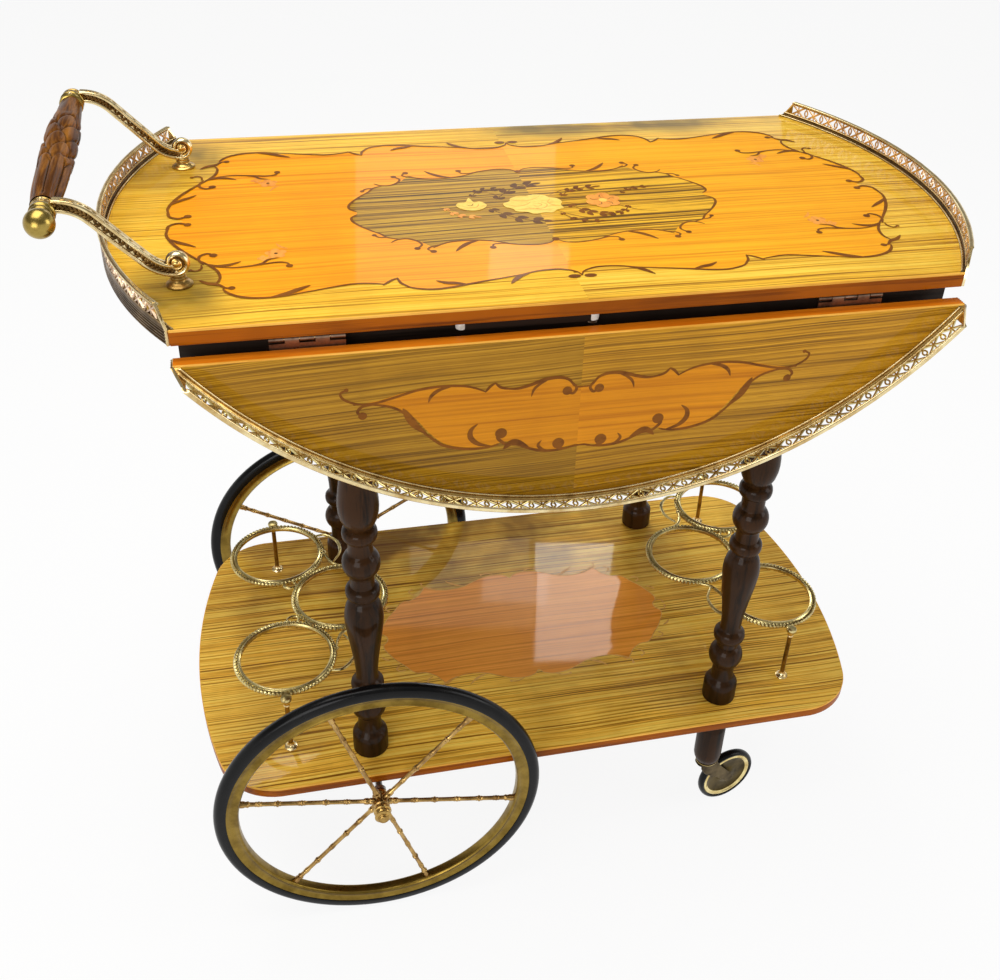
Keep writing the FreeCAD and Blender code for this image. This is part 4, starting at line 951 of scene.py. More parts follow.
def shelf_outline():
    (side, wide), (end, flat) = SHELF_SIDE, SHELF_END
    right = arc_between((side, -wide), (end, -flat), SHELF_CORNER, 12)
    right += arc_between((end, -flat), (end, flat), bow_radius(flat, SHELF_BOW), 24)
    right += arc_between((end, flat), (side, wide), SHELF_CORNER, 12) + [(side, wide)]
    return right + [(-x, -y) for x, y in right]


def board(name, outline, thickness, move, body, face, edge, node):
    tints = [face, edge, "edge_line", "under"]
    piece(name, placed(slab(outline, thickness), move), body, tints, [node])


def inlaid(name, inlay, move, body, tints, nodes=()):
    piece(name, placed(inlay, move), body, tints, nodes)


def table_top():
    board("TopBoard", top_outline(), BOARD, on_top, "carcass", "top", "edge", "top_board")
    field = Inlay().sheet(outline_of(FIELD_QUARTER, FIELD_CENTRE))
    inlaid("TopField", field, on_top, "carcass", ["field"], ["top_field_inlay"])
    oval = Inlay(0.08).sheet(outline_of(MEDALLION_QUARTER, MEDALLION_CENTRE))
    inlaid("TopMedallion", oval, on_top, "carcass", ["medallion"], ["top_medallion_inlay"])
    lines = field_scrolls(medallion_scrolls(Inlay(0.1)))
    inlaid("TopScrolls", lines, on_top, "carcass", ["scroll"])
    inlaid("TopFlowers", flowers(Inlay(0.1)), on_top, "carcass", ["scroll", "pale", "petal", "plum"])
    inlaid("TopCornerFlowers", side_flowers(Inlay(0.1)), on_top, "carcass", ["petal", "plum"])


def leaves():
    half = [(CARTOUCHE_X + x, y) for x, y in CARTOUCHE_HALF]
    other = [(2 * CARTOUCHE_X - x, y) for x, y in half[-2:0:-1]]
    for end, move in (("front", on_leaf), ("back", on_back_leaf)):
        body = f"{end}_leaf"
        name, node = f"{end}_LeafBoard", f"{end}_leaf_board"
        board(name, leaf_outline(), BOARD, move, body, "leaf", "lit_leaf_edge", node)
        panel = Inlay().sheet(smooth(half + other, 4, closed=True))
        inlaid(f"{end}_LeafCartouche", panel, move, body, ["cartouche"], [f"{end}_leaf_inlay"])
        inlaid(f"{end}_LeafScrolls", cartouche_scrolls(Inlay(0.1)), move, body, ["scroll"])


def shelf():
    board("ShelfBoard", shelf_outline(), SHELF_THICK, on_shelf, "carcass", "shelf", "edge", "lower_shelf")
    outline = outline_of(MEDALLION_QUARTER, SHELF_CENTRE, (0.98, 1.02))
    panel = Inlay().sheet(outline)
    inlaid("ShelfPanel", panel, on_shelf, "carcass", ["shelf_inlay"], ["shelf_medallion_inlay"])
    lines = shelf_scrolls(banded(Inlay(0.1), outline, 1.1))
    inlaid("ShelfScrolls", lines, on_shelf, "carcass", ["shelf_line"])


# galleries


def gallery_bands(shape, radius, edge_angle, steps):
    """The bands, beads, foot and skirt that run along a gallery, and a post at each end."""

    def sweep(profile, slot):
        """A section of (out, height) points drawn along the whole wall."""
        rows = []
        for i in range(steps + 1):
            share = 2 * i / steps - 1
            rows.append([(share * edge_angle(radius + t, h), radius + t, h) for t, h in profile])
        shape.skin(rows, cap=True, slot=slot)

    def bead(out, height, half_out, half_height, sides=12):
        sweep([(out + half_out * cos(a), height + half_height * sin(a)) for a in turns(sides)], 1)

    # the rolled rim and the band under it, the band over the foot, and the foot on the board
    bead(0.6, GALLERY_TOP - 1.3, 2.3, 1.3, 16)
    sweep([(-0.1, 15.0), (1.4, 15.0), (1.7, 15.6), (2.4, 16.8), (1.2, 17.6), (-0.6, 17.2), (-0.2, 15.6)], 0)
    bead(0.8, 15.2, 1.1, 0.6)
    sweep([(-0.6, 3.4), (-1.2, 4.0), (-0.9, 4.9), (1.6, 4.9), (1.6, 2.6), (-0.4, 2.6)], 0)
    bead(-0.6, 4.4, 0.8, 0.7)
    foot = [(-3.9, 0.0), (-3.6, 1.0), (-2.4, 1.4), (-1.2, 1.3), (0.2, 3.2), (1.6, 3.2), (1.9, 1.2)]
    sweep(foot + [(1.9, 0.0)], 2)
    bead(-3.0, 0.9, 0.9, 0.7)

    # the ribbed skirt over the board's edge
    skirt = -13.6
    ribs = []
    for k in range(5):
        low = -13.4 + k * 2.75
        ribs += [(1.2, low), (2.1, low + 0.7), (2.1, low + 1.7), (1.2, low + 2.4)]
    sweep([(0.05, skirt)] + ribs + [(1.9, 0.3), (0.05, 0.3)], 2)

    # a slanted post at each end
    corners = ((-1.4, -0.3), (-1.4, 2.0), (0.5, 2.0), (0.5, -0.3))
    for side in (-1, 1):
        rows = []
        for h in (skirt, 0.5, 9.0, GALLERY_TOP - 0.6):
            angle = side * edge_angle(radius + 0.8, h)
            rows.append([(angle + side * s / radius, radius + t, h) for s, t in corners])
        shape.skin(rows, cap=True, slot=1)


def gallery_lattice(shape, radius, edge_angle):
    """Crosses with ovals between them, at a pitch that is fitted to the gallery's length."""
    low, high, middle = 4.7, 15.1, 9.9
    end_space, cross_half, cross_rise = 9.6, 7.6, 5.3
    reach = edge_angle(radius, high) - end_space / radius
    count = int(reach * radius / LATTICE_PITCH)
    step = reach / count
    half = step * radius / 2

    # a plate between the last cross and the post at each end
    for side in (-1, 1):
        last = side * (count * step + (cross_half + 0.8) / radius)
        rows = []
        for h in (low - 0.4, high + 0.2):
            end = side * edge_angle(radius, h)
            rows.append([(a, radius + t, h) for a, t in ((last, 0.1), (last, 1.3), (end, 1.3), (end, 0.1))])
        shape.skin(rows, cap=True, slot=0)

    def bar(turn, a, b, wide):
        """A flat bar with bevelled edges between two points of (along, height)."""
        (s0, h0), (s1, h1) = a, b
        along = Vector((s1 - s0, h1 - h0)).normalized() * wide / 2
        off = Vector((-along.y, along.x))
        section = ((-1, 0.2), (-0.55, 1.5), (0.55, 1.5), (1, 0.2), (0.55, -0.3), (-0.55, -0.3))
        rows = []
        for s, h in (a, b):
            rows.append([(turn + (s + off.x * k) / radius, radius + t, h + off.y * k) for k, t in section])
        shape.skin(rows, cap=True, slot=3)

    def eye(turn):
        """An oval ring between two crosses."""
        wide, tall, thick = 2.0, 3.2, 0.9
        rows = []
        for angle in turns(12):
            row = []
            for swing in turns(6):
                reach = thick * cos(swing)
                u = half + (wide + reach) * cos(angle)
                v = middle + (tall + reach) * sin(angle)
                row.append((turn + u / radius, radius + 0.6 + thick * sin(swing), v))
            rows.append(row)
        shape.skin(rows, loop=True, slot=3)

    boss = Shape().ball((0, 0, 0), (1.8, 1.2, 1.7), 8, 4, 3)
    for index in range(-count, count + 1):
        turn = index * step
        for side in (1, -1):
            rise = cross_rise * side
            bar(turn, (-cross_half, middle - rise), (cross_half, middle + rise), 2.3)
        for side in (1, -1):
            bar(turn, (0, middle + 5.2 * side), (0, middle + 1.2 * side), 1.5)
        shape.join(boss, lambda x, y, z: (turn + x / radius, radius + 0.8 + y, middle + z))
        if index < count:
            eye(turn)
            bar(turn, (half, high), (half, middle + 3.5), 1.5)
            bar(turn, (half, middle - 3.5), (half, low), 1.5)


def gallery_parts(radius, edge_angle, steps):
    """A gallery as points of (angle, distance, height). Slots: 0 bands, 1 beads, 2 foot, 3 lattice."""
    shape = Shape()
    gallery_bands(shape, radius, edge_angle, steps)
    gallery_lattice(shape, radius, edge_angle)
    return shape


def galleries():
    gap, lean = 1.0, 0.6

    def end_angle(distance, height):
        return math.asin((TOP_HALF[1] - gap - lean * max(height, 0)) / distance)

    def leaf_angle(distance, height):
        return math.acos((LEAF_CHORD + gap + lean * max(height, 0)) / distance)

    def far(angle, distance, height):
        return END_CENTRE + distance * cos(angle), distance * sin(angle), TOP + height

    def near(angle, distance, height):
        x, y, z = far(angle, distance, height)
        return -x, y, z

    def hung(angle, distance, height):
        return on_leaf(distance * sin(angle), distance * cos(angle) - LEAF_CHORD, height)

    end = gallery_parts(END_R, end_angle, 160)
    tints = ["dull", "bright", "aged", "lattice"]
    piece("FarGallery", placed(end, far), "carcass", tints, ["far_end_gallery"])
    piece("HandleGallery", placed(end, near), "carcass", tints, ["handle_end_gallery"])
    front = placed(gallery_parts(LEAF_R, leaf_angle, 304), hung)
    tints = ["brass", "bright", "brass", "pale_brass"]
    piece("FrontLeafGallery", front, "front_leaf", tints, ["front_leaf_gallery"])
    piece("BackLeafGallery", placed(front, back_of), "back_leaf", tints, ["back_leaf_gallery"])


# legs


def leg_profile():
    """(radius, height) from the shelf up to the underside of the cross rail, alike from both ends."""
    bulb, middle = 18.5, 446.25

    def bulb_rows(height, stop):
        return [polar(0, height, bulb, math.radians(angle)) for angle in range(-46, stop, 8)]

    lower = [(7.0, -0.2), (17.6, 0.0), (18.4, 0.9), (18.5, 4), (18.5, 20), (18.2, 24), (16.0, 28), (12.6, 31)]
    lower += [(12.0, 33), (12.0, 46), (12.6, 49.5)] + bulb_rows(65, 51)
    lower += [(12.1, 80), (12.0, 84), (12.3, 86.5), (14.6, 88.5), (16.4, 91), (16.9, 94), (16.9, 96)]
    lower += [(16.4, 99), (14.4, 101.6), (12.2, 103.2), (11.2, 105.5), (11.1, 110), (11.5, 118), (12.4, 128)]
    lower += [(14.0, 141), (15.9, 155), (17.8, 169), (19.1, 181), (19.4, 188), (18.9, 195), (17.2, 203)]
    lower += [(14.6, 209), (12.6, 211.6), (12.4, 213), (14.6, 214.6), (16.4, 217), (16.9, 220), (16.9, 222)]
    lower += [(16.4, 225), (14.6, 227.6), (12.3, 229.2), (12.0, 232), (12.0, 240), (12.6, 243)]
    lower += bulb_rows(middle - SHELF, 1)
    whole = [(r, SHELF + h) for r, h in lower]
    return whole + [(r, 2 * middle - h) for r, h in whole[::-1]]


def legs():
    profile = leg_profile()
    for end, front in ENDS:
        for side, x in (("left", -LEG_X), ("right", LEG_X)):
            leg = Shape().lathe(profile, (x, LEG_Y * front, 0), sides=56)
            name = f"{end}_{side}"
            piece(f"{name}_TurnedLeg", leg, "carcass", ["leg"], [f"{name}_leg"])


# bottle rings


def rope_ring(shape, x, y):
    """A cast ring: a smooth inner rim with a rope of slanted beads round it."""
    half = [(-4.0, 0.4), (-3.5, 2.2), (-2.0, 3.0), (-0.4, 2.2), (0.4, 0.6), (0.4, -2.0), (-1.2, -2.9)]
    rim = [(RING_R + r, z) for r, z in half + [(-3.2, -2.3)]]
    shape.lathe(rim, (x, y, RING_Z), sides=72, loop=True, slot=1)
    for angle in turns(78):
        place = (*polar(x, y, RING_R + 2.0, angle), RING_Z)
        turn = Matrix.Rotation(angle, 3, "Z") @ Matrix.Rotation(0.6, 3, "X")
        shape.ball(place, (2.3, 2.4, 3.0), 7, 5, 1, turn)


def c_scroll(shape, x, y, start):
    """A flat C with curled ends between two rings."""
    path, radii = [], []
    for i in range(25):
        t = i / 24
        angle = start + (t - 0.5) * 4.2
        reach = 8.0 * (1 - 0.45 * abs(2 * t - 1) ** 3)
        path.append((*polar(x, y, reach, angle), RING_Z))
        radii.append(1.1 + 0.7 * sin(pi * t))
    shape.tube(path, radii, slot=1)
    for end in (path[0], path[-1]):
        shape.ball(end, (1.9, 1.9, 1.9), 10, 6, 1)


def brace_scrolls(shape, side, end):
    """Two swept scrolls from the inner side of an outer ring, drawn for the front left one."""
    brace = [(-224, -82), (-221, -70), (-215, -59), (-205, -53)]
    swept = [(-214, -63), (-205, -80), (-207, -100), (-220, -114), (-234, -113)]
    for line in (brace, swept):
        path = smooth([(x * -side, y * -end, RING_Z) for x, y in line], 6)
        count = len(path)
        shape.tube(path, [1.1 + 0.8 * sin(pi * i / count) for i in range(count)], slot=1)
        shape.ball(path[-1], (2.0, 2.0, 2.0), 10, 6, 1)
    x, y = brace[0]
    shape.ball((x * -side, y * -end, RING_Z), (3.2, 3.2, 2.6), 10, 6, 1)


def post_eye(shape, x, y):
    """The eye on a post's head, with a crown of beads."""
    eye = [(2.4, -2.8), (4.6, -2.8), (5.6, -1.6), (5.8, 0.6), (5.2, 2.2), (3.4, 2.9), (0.0, 3.0)]
    shape.lathe(eye, (x, y, RING_Z), sides=18, slot=1)
    for angle in turns(6):
        place = (*polar(x, y, 4.6, angle), RING_Z + 0.6)
        shape.ball(place, (1.4, 1.4, 1.9), 7, 4, 1)


def rings():
    for name, side in (("Left", -1), ("Right", 1)):
        shape = Shape()
        middle = MIDDLE_RING_X * side
        rope_ring(shape, middle, 0)
        for end in (-1, 1):
            x, y = OUTER_RING[0] * side, OUTER_RING[1] * end
            rope_ring(shape, x, y)
            joint_x, joint_y = (x + middle) / 2, y / 2
            shape.ball((joint_x, joint_y, RING_Z), (3.6, 3.6, 2.7), 12, 6)
            brace_scrolls(shape, side, end)
            start = -pi / 2 * end + 0.5 * side * end
            c_scroll(shape, joint_x + 21 * side, joint_y - 11 * end, start)
            post_eye(shape, RING_POST[0] * side, RING_POST[1] * end)
        node = f"{name.lower()}_bottle_rings"
        piece(f"{name}BottleRings", shape, "carcass", ["brass", "pale_brass"], [node])


def ring_posts():
    shape = Shape()
    top = RING_Z - SHELF - 3
    foot = [(0, 0.05), (6.6, 0.05), (7.0, 0.7), (6.6, 1.4), (5.0, 2.0), (3.6, 3.4), (2.8, 5.2), (2.5, 7.0)]
    head = [(2.5, -8), (3.0, -7), (3.4, -6), (3.0, -5), (3.9, -2.4), (4.3, 0), (0, 0)]
    profile = foot + [(r, top + h) for r, h in head]
    for side in (-1, 1):
        for end in (-1, 1):
            shape.lathe(profile, (RING_POST[0] * side, RING_POST[1] * end, SHELF), sides=24)
    for index, face in enumerate(shape.faces):
        heights = [shape.points[i][2] - SHELF for i in face]
        if max(heights) < 7.5 or min(heights) > top - 8.5:
            shape.slots[index] = 1
    piece("BottleRingPosts", shape, "carcass", ["dull", "bright"], ["bottle_ring_posts"])


# large wheels


HUB_R, HUB_HALF = 8.5, 11.0
TYRE_DEPTH, RIM_DEPTH = 12.0, 13.0


def spoke_profile(inner):
    """(radius, distance from the hub's middle) with turned beads along the rod."""
    rod = [(3.4, HUB_R - 1.2), (3.5, HUB_R + 3), (2.9, HUB_R + 4), (3.5, HUB_R + 5), (3.3, HUB_R + 8.5)]
    rod += [(2.3, HUB_R + 10)]
    for share in (0.2, 0.36, 0.54, 0.72, 0.86):
        place = HUB_R + (inner - HUB_R) * share
        swell = 3.2 if share in (0.36, 0.72) else 2.8
        rod += [(2.25, place - 4), (2.7, place - 2.4), (2.3, place - 1.6), (swell, place - 0.8)]
        rod += [(swell, place + 0.8), (2.3, place + 1.6), (2.7, place + 2.4), (2.25, place + 4)]
    ends = [(2.4, -10), (3.4, -8.5), (2.8, -6), (3.5, -4), (3.5, 1.0)]
    return rod + [(r, inner + along) for r, along in ends]


def wheels():
    outer = WHEEL_R - TYRE_DEPTH
    inner = outer - RIM_DEPTH
    crown, half_wide = 6.6, 6.9
    tread = []
    for k in range(11):
        angle = pi * (k / 10 - 0.5)
        tread.append((WHEEL_R - crown + crown * cos(angle), half_wide * sin(angle)))
    tyre = [(outer - 0.2, -6.6), (outer + 1.0, -7.0), (outer + 3.0, -half_wide)]
    rim = [(inner, -3.6), (inner + 0.5, -5.0), (inner + 1.8, -6.0), (inner + 3.0, -5.6), (inner + 4.2, -4.6)]
    rim += [(outer - 4.4, -4.4), (outer - 2.8, -5.4), (outer - 1.4, -6.2), (outer + 0.1, -6.0)]
    hub = [(BORE, -HUB_HALF), (6.4, -HUB_HALF), (7.2, -HUB_HALF + 0.8), (7.2, -8.2), (8.4, -7.2), (8.4, -5.6)]
    hub += [(7.4, -4.8)]
    spoke = Shape().lathe(spoke_profile(inner), (0, 0, 0), "x", 16)

    for (end, side), phase in zip(ENDS, (-11.2, 31.0)):
        middle = WHEEL_Y * side
        place = (WHEEL_X, middle, WHEEL_R)
        spokes = Shape()
        for k in range(6):
            turn = math.radians(phase + 60 * k)
            c, s = cos(turn), sin(turn)
            spokes.join(spoke, lambda x, y, z: (WHEEL_X + x * c - z * s, middle + y, WHEEL_R + x * s + z * c))
        parts = [
            ("Tyre", Shape().lathe(both_ways(tyre, tread), place, "y", 128, loop=True), "tyre", "tyre", 38.0),
            ("Rim", Shape().lathe(both_ways(rim), place, "y", 128, loop=True), "rim", "brass", 50.0),
            ("Hub", Shape().lathe(both_ways(hub), place, "y", 40, loop=True), "spoke", "brass", 38.0),
            ("Spokes", spokes, "spoke", "brass", 38.0),
        ]
        for name, shape, tint, slot, sharp in parts:
            node = f"{end}_wheel_{name.lower()}"
            piece(f"{end}_Wheel{name}", shape, f"{end}_wheel", [tint], [node], sharp)


def wheel_caps():
    start, finish = -(HUB_HALF + 0.5), -25.0
    cap = [(4.1, start), (8.4, start), (9.2, start - 0.8), (9.2, start - 2.4), (8.2, start - 3.1)]
    cap += [(8.5, start - 3.6)]
    tip = [(8.3, 6.6), (7.6, 6.2), (8.7, 5.4), (8.7, 4.4), (7.0, 3.6), (5.9, 3.2), (5.9, 2.4), (5.2, 1.9)]
    tip += [(5.2, 0.9), (4.4, 0.2), (0, 0)]
    cap += [(r, finish + along) for r, along in tip]

    def fluted(along, angle):
        barrel = start - 3.6 > along > finish + 6.4
        return 1 - (0.05 * (0.5 + 0.5 * cos(14 * angle)) if barrel else 0)

    one = Shape().lathe(cap, (0, 0, 0), "y", 56, carve=fluted)
    caps = Shape()
    for side in (1, -1):
        caps.join(one, lambda x, y, z: (WHEEL_X + x, (y - WHEEL_Y) * side, WHEEL_R + z))
    piece("WheelCaps", caps, "carcass", ["brass"], ["wheel_caps"])


# casters


CASTER_HUB = (CASTER_TRAIL, 0, CASTER_R)
CASTER_RIM = CASTER_R - 5.0


def caster_foot():
    """(radius, height) of the turned post, from its bore up to the shelf's underside."""
    top = SHELF - SHELF_THICK
    foot = [(5.1, 36), (5.1, 0), (10.8, 0), (11.9, 0.7), (13.2, 3), (15.0, 7), (15.9, 11), (16.0, 16)]
    foot += [(16.0, 56), (15.4, 59), (13.2, 62.4), (12.5, 64), (12.5, 69), (13.4, 72), (16.0, 76)]
    foot += [(17.3, 80), (17.5, 83)]
    post = [(r, POST_FOOT + h) for r, h in foot]
    return post + [(17.5, top - 1), (17.0, top - 0.1), (0, top - 0.1), (0, POST_FOOT + 36)]


def caster_disc():
    """The pressed disc. Slots: 0 disc, 1 rolled edge."""
    disc = [(2.55, -4.6), (4.4, -4.6), (5.0, -4.2), (8.0, -4.0), (11.0, -2.3), (14.0, -1.9)]
    edge = [(8.0, -2.1), (5.0, -2.7), (3.6, -4.2), (2.4, -4.9), (1.0, -4.6), (0, -3.6)]
    disc += [(CASTER_RIM - inwards, y) for inwards, y in edge]
    made = Shape().lathe(both_ways(disc), CASTER_HUB, "y", 64, loop=True)
    for index, face in enumerate(made.faces):
        corners = [made.points[i] for i in face]
        if min(math.hypot(x - CASTER_TRAIL, z - CASTER_R) for x, _, z in corners) > CASTER_RIM - 5.2:
            made.slots[index] = 1
    return made


def caster_tyre():
    half = [(CASTER_RIM, -4.0), (CASTER_RIM + 0.9, -4.9), (CASTER_RIM + 2.6, -4.9), (CASTER_R - 1.0, -3.8)]
    half += [(CASTER_R - 0.2, -2.0)]
    return Shape().lathe(both_ways(half, [(CASTER_R, 0.0)]), CASTER_HUB, "y", 72, loop=True)


def casters():
    socket = [(5.1, -1.2), (12.0, -1.2), (12.5, -0.8), (12.5, -0.2), (12.0, 0), (5.1, 0)]
    socket = [(r, POST_FOOT + h) for r, h in socket]
    rivet = [(0.0, -6.4), (2.4, -6.3), (3.3, -5.7), (3.9, -5.1), (4.0, -5.0), (2.5, -5.0)]
    c, s = cos(CASTER_TURN), sin(CASTER_TURN)
    sockets = Shape()
    for end, side in ENDS:
        y0 = LEG_Y * side

        def turned(x, y, z):
            return LEG_X + x * c - y * s, y0 + x * s + y * c, z

        made = Shape().lathe(caster_foot(), (LEG_X, y0, 0), sides=48)
        piece(f"{end}_CasterFoot", made, "carcass", ["leg"], [f"{end}_caster_post"])
        sockets.lathe(socket, (LEG_X, y0, 0), sides=40, loop=True)
        body = f"{end}_caster"
        made = placed(fork_shape(), turned)
        piece(f"{end}_CasterYoke", made, body, ["bronze"], [f"{end}_caster_fork"])
        made = placed(Shape().lathe(both_ways(rivet), CASTER_HUB, "y", 20), turned)
        piece(f"{end}_CasterPin", made, body, ["gilt"], [f"{end}_caster_axle"])
        body = f"{end}_caster_wheel"
        made, node = placed(caster_disc(), turned), f"{end}_caster_disc"
        piece(f"{end}_CasterWheelDisc", made, body, ["disc", "gilt"], [node])
        made = placed(caster_tyre(), turned)
        piece(f"{end}_CasterWheelTyre", made, body, ["tyre"], [f"{end}_caster_tyre"])
    piece("CasterSockets", sockets, "carcass", ["gilt"], ["caster_sockets"])


def fork_shape():
    """A pressed yoke: two tapering plates with rolled edges under a crown, and the stem."""
    shape = Shape()
    crown = POST_FOOT - 1.6
    inside, plate = 6.0, 2.0
    eye = 6.0
    left = [(-9.3, crown - 1.0), (-9.5, crown - 8), (-2.0, crown - 20), (12.0, CASTER_R + 12)]
    left += [(24.0, CASTER_R + 1), (CASTER_TRAIL - eye * 0.8, CASTER_R - eye * 0.6)]
    tip = arc((CASTER_TRAIL, CASTER_R), eye, 217, 397, 10)[1:-1]
    right = [(CASTER_TRAIL + eye * 0.8, CASTER_R + eye * 0.6), (30.0, CASTER_R + 14), (20.0, crown - 16)]
    right += [(13.4, crown - 6), (12.3, crown - 1.0)]
    outline = smooth(left, 3)[:-1] + tip + smooth(right, 3)
    for side in (-1, 1):
        rows = []
        for y, shrink in ((inside, 0.0), (inside + plate - 0.7, 0.0), (inside + plate, 0.8)):
            rows.append([(x, y * side, z) for x, z in inset(outline, shrink)])
        shape.skin(rows, cap=True)
    top = [(-9.5, -2.2), (-9.5, -0.8), (-8.6, 0), (11.4, 0), (12.4, -0.8), (12.4, -2.2)]
    wide = inside + plate
    shape.skin([[(x, y, crown + z) for x, z in top] for y in (-wide, wide)], cap=True)
    stem = [(0, -0.2), (5.0, -0.2), (5.0, 33), (4.0, 34), (0, 34)]
    return shape.lathe([(r, crown + h) for r, h in stem], sides=24)


# handle


def arm_line():
    """The arm's middle line in x and z with its direction, from the foot up to the eye."""
    slope = math.radians(47.0)
    low_bend, high_bend, straight = 31.5, 35.0, 52.7
    x, z = HANDLE_FOOT_X, ARM_START
    line = []
    for i in range(15):
        a = slope * i / 14
        line.append((x - sin(a) * low_bend, z + (1 - cos(a)) * low_bend, a))
    x, z, _ = line[-1]
    for i in range(1, 15):
        d = straight * i / 14
        line.append((x - cos(slope) * d, z + sin(slope) * d, slope))
    x, z, _ = line[-1]
    for i in range(1, 17):
        a = slope * (1 - i / 16)
        x1 = x - high_bend * (sin(slope) - sin(a))
        z1 = z + high_bend * (cos(a) - cos(slope))
        line.append((x1, z1, a))
    line.append((GRIP_X + 6, line[-1][1] - 1.0, 0.1))
    return line


def arm_bar(shape, y0):
    """The bar, hollowed on both sides between rounded edges, with cast leaves along it."""
    edge = []
    for k in range(8):
        a = pi * k / 7
        edge.append((3.0 + 1.5 * sin(a), 3.8 + 1.6 * cos(a)))
    half = [(0.0, 5.0), (1.6, 5.2)] + edge + [(2.5, 1.6), (2.3, 0.0)]
    right = half + [(a, -b) for a, b in half[-2::-1]]
    ring = right + [(-a, b) for a, b in right[-2:0:-1]]
    line = arm_line()
    rows = []
    for x, z, a in line:
        rows.append([(x + sin(a) * v, y0 + u, z + cos(a) * v) for u, v in ring])
    shape.skin(rows, cap=True, slot=1)
    last = len(line) - 3
    for i in range(2, last):
        x, z, a = line[i]
        lean, off = (0.7, 1.0) if i % 2 else (-0.7, -1.0)
        turn = Matrix.Rotation(a, 3, "Y") @ Matrix.Rotation(lean, 3, "Y")
        for side in (-1, 1):
            place = (x + sin(a) * off, y0 + 2.6 * side, z + cos(a) * off)
            shape.ball(place, (3.2, 1.3, 1.5), 8, 5, 2, turn)
    for i in range(4, last, 3):
        x, z, a = line[i]
        place = (x + sin(a) * 4.7, y0, z + cos(a) * 4.7)
        shape.ball(place, (2.9, 2.2, 0.9), 8, 5, 0, Matrix.Rotation(a, 3, "Y"))


def arm_scroll(shape, y0):
    """The scroll over the foot: a flat band wound inwards round a boss, with a web behind it."""
    x0, z0 = HANDLE_FOOT_X, ARM_START + 6.5
    wound = 1.35
    rows = []
    for i in range(46):
        t = i / 45
        turn = -pi / 2 + t * 2 * pi * wound
        out, thick = 9.4 - 6.6 * t, 2.6 - 1.1 * t
        row = []
        for a in turns(12):
            reach = out + thick * sin(a)
            row.append((x0 + reach * cos(turn), y0 + 4.4 * cos(a), z0 + reach * sin(turn)))
        rows.append(row)
    shape.skin(rows, cap=True, slot=1)
    boss = both_ways([(0, -6.4), (1.6, -6.3), (2.8, -5.6), (3.3, -4.4), (2.6, -3.6), (3.8, -3.0)])
    shape.lathe(boss, (x0, y0, z0), "y", 20)
    shape.lathe(both_ways([(0, -2.0), (8.6, -2.0)]), (x0, y0, z0), "y", 28, slot=2)


def handle_arm(y0):
    """A cast arm. Slots: 0 brass, 1 bright, 2 aged."""
    shape = Shape()
    arm_bar(shape, y0)
    arm_scroll(shape, y0)
    foot = [(0, 0.1), (10.4, 0.1), (11.0, 0.6), (11.0, 1.4), (10.2, 2.2), (9.0, 2.6), (7.6, 3.4), (6.3, 4.6)]
    foot += [(5.9, 5.6), (6.6, 6.3), (6.6, 7.2), (5.8, 8.2), (6.2, 9.6), (5.4, 10.6), (0, 10.8)]
    shape.lathe(foot, (HANDLE_FOOT_X, y0, TOP), sides=32)

    eye = both_ways([(BORE, -4.5), (8.6, -4.5), (9.6, -4.0), (9.8, -3.0), (9.2, -2.0)])
    shape.lathe(eye, (GRIP_X, y0, GRIP_Z), "y", 32, loop=True)
    for angle in turns(14):
        place = (GRIP_X + 9.0 * cos(angle), y0, GRIP_Z + 9.0 * sin(angle))
        shape.ball(place, (0.95, 1.6, 0.95), 6, 4, 1)
    return shape


# the carved grip as (y, radius)
GRIP_POINTS = [
    (-124, 10.2), (-112, 11.2), (-96, 12.5), (-76, 13.3), (-56, 13.7), (-30, 14.3), (0, 14.9),
    (28, 14.8), (52, 13.6), (74, 11.9), (96, 10.4), (112, 9.4), (124, 8.8),
]
GRIP_LINE = smooth(GRIP_POINTS)
GRIP_HALF = 123.3


def ease(value):
    value = min(max(value, 0.0), 1.0)
    return value * value * (3 - 2 * value)


def leaf_height(y, angle):
    """How high the overlapping carved leaves stand over the grooves between them."""
    around, tall = 4, 23.0
    row = math.floor(y / tall)
    best = 0.0
    for j in (row - 1, row, row + 1):
        over = y / tall - j - 0.5
        place = (angle + y * 0.012) * around / (2 * pi) + 0.5 * (j % 2)
        off = place - math.floor(place) - 0.5
        width = 0.62 * max(1 - abs(over - 0.1) ** 1.8 * 1.1, 0.05)
        dome = 1 - (off / width) ** 2 - (over * 0.95) ** 4 + 0.3 * over
        vein = 0.1 * math.exp(-((off / 0.07) ** 2))
        best = max(best, dome - vein)
    return best


def grip_radius(y, angle):
    """The carved barrel: a calyx of lobes in front, overlapping leaves, then a smooth twist behind."""
    calyx_end, twist_start = -54, 52
    radius = GRIP_LINE[-1][1]
    for (y0, r0), (y1, r1) in zip(GRIP_LINE, GRIP_LINE[1:]):
        if y0 <= y <= y1:
            radius = r0 + (r1 - r0) * (y - y0) / (y1 - y0)
            break
    lobe = abs(cos(3 * angle)) ** 0.8
    front = ease((calyx_end + 14 * lobe - y) / 3.0)
    behind = ease((y - twist_start) / 14)
    cut = front * ease((y + 122) / 10) * 0.2 * (1 - lobe)
    cut += behind * ease((120 - y) / 10) * 0.09 * (1 - abs(cos(2 * angle + y * 0.035)))
    between = (1 - front) * (1 - behind)
    if between > 0:
        cut += between * (0.01 + 0.4 * (1 - ease(leaf_height(y, angle))))
    return radius * (1 - cut)


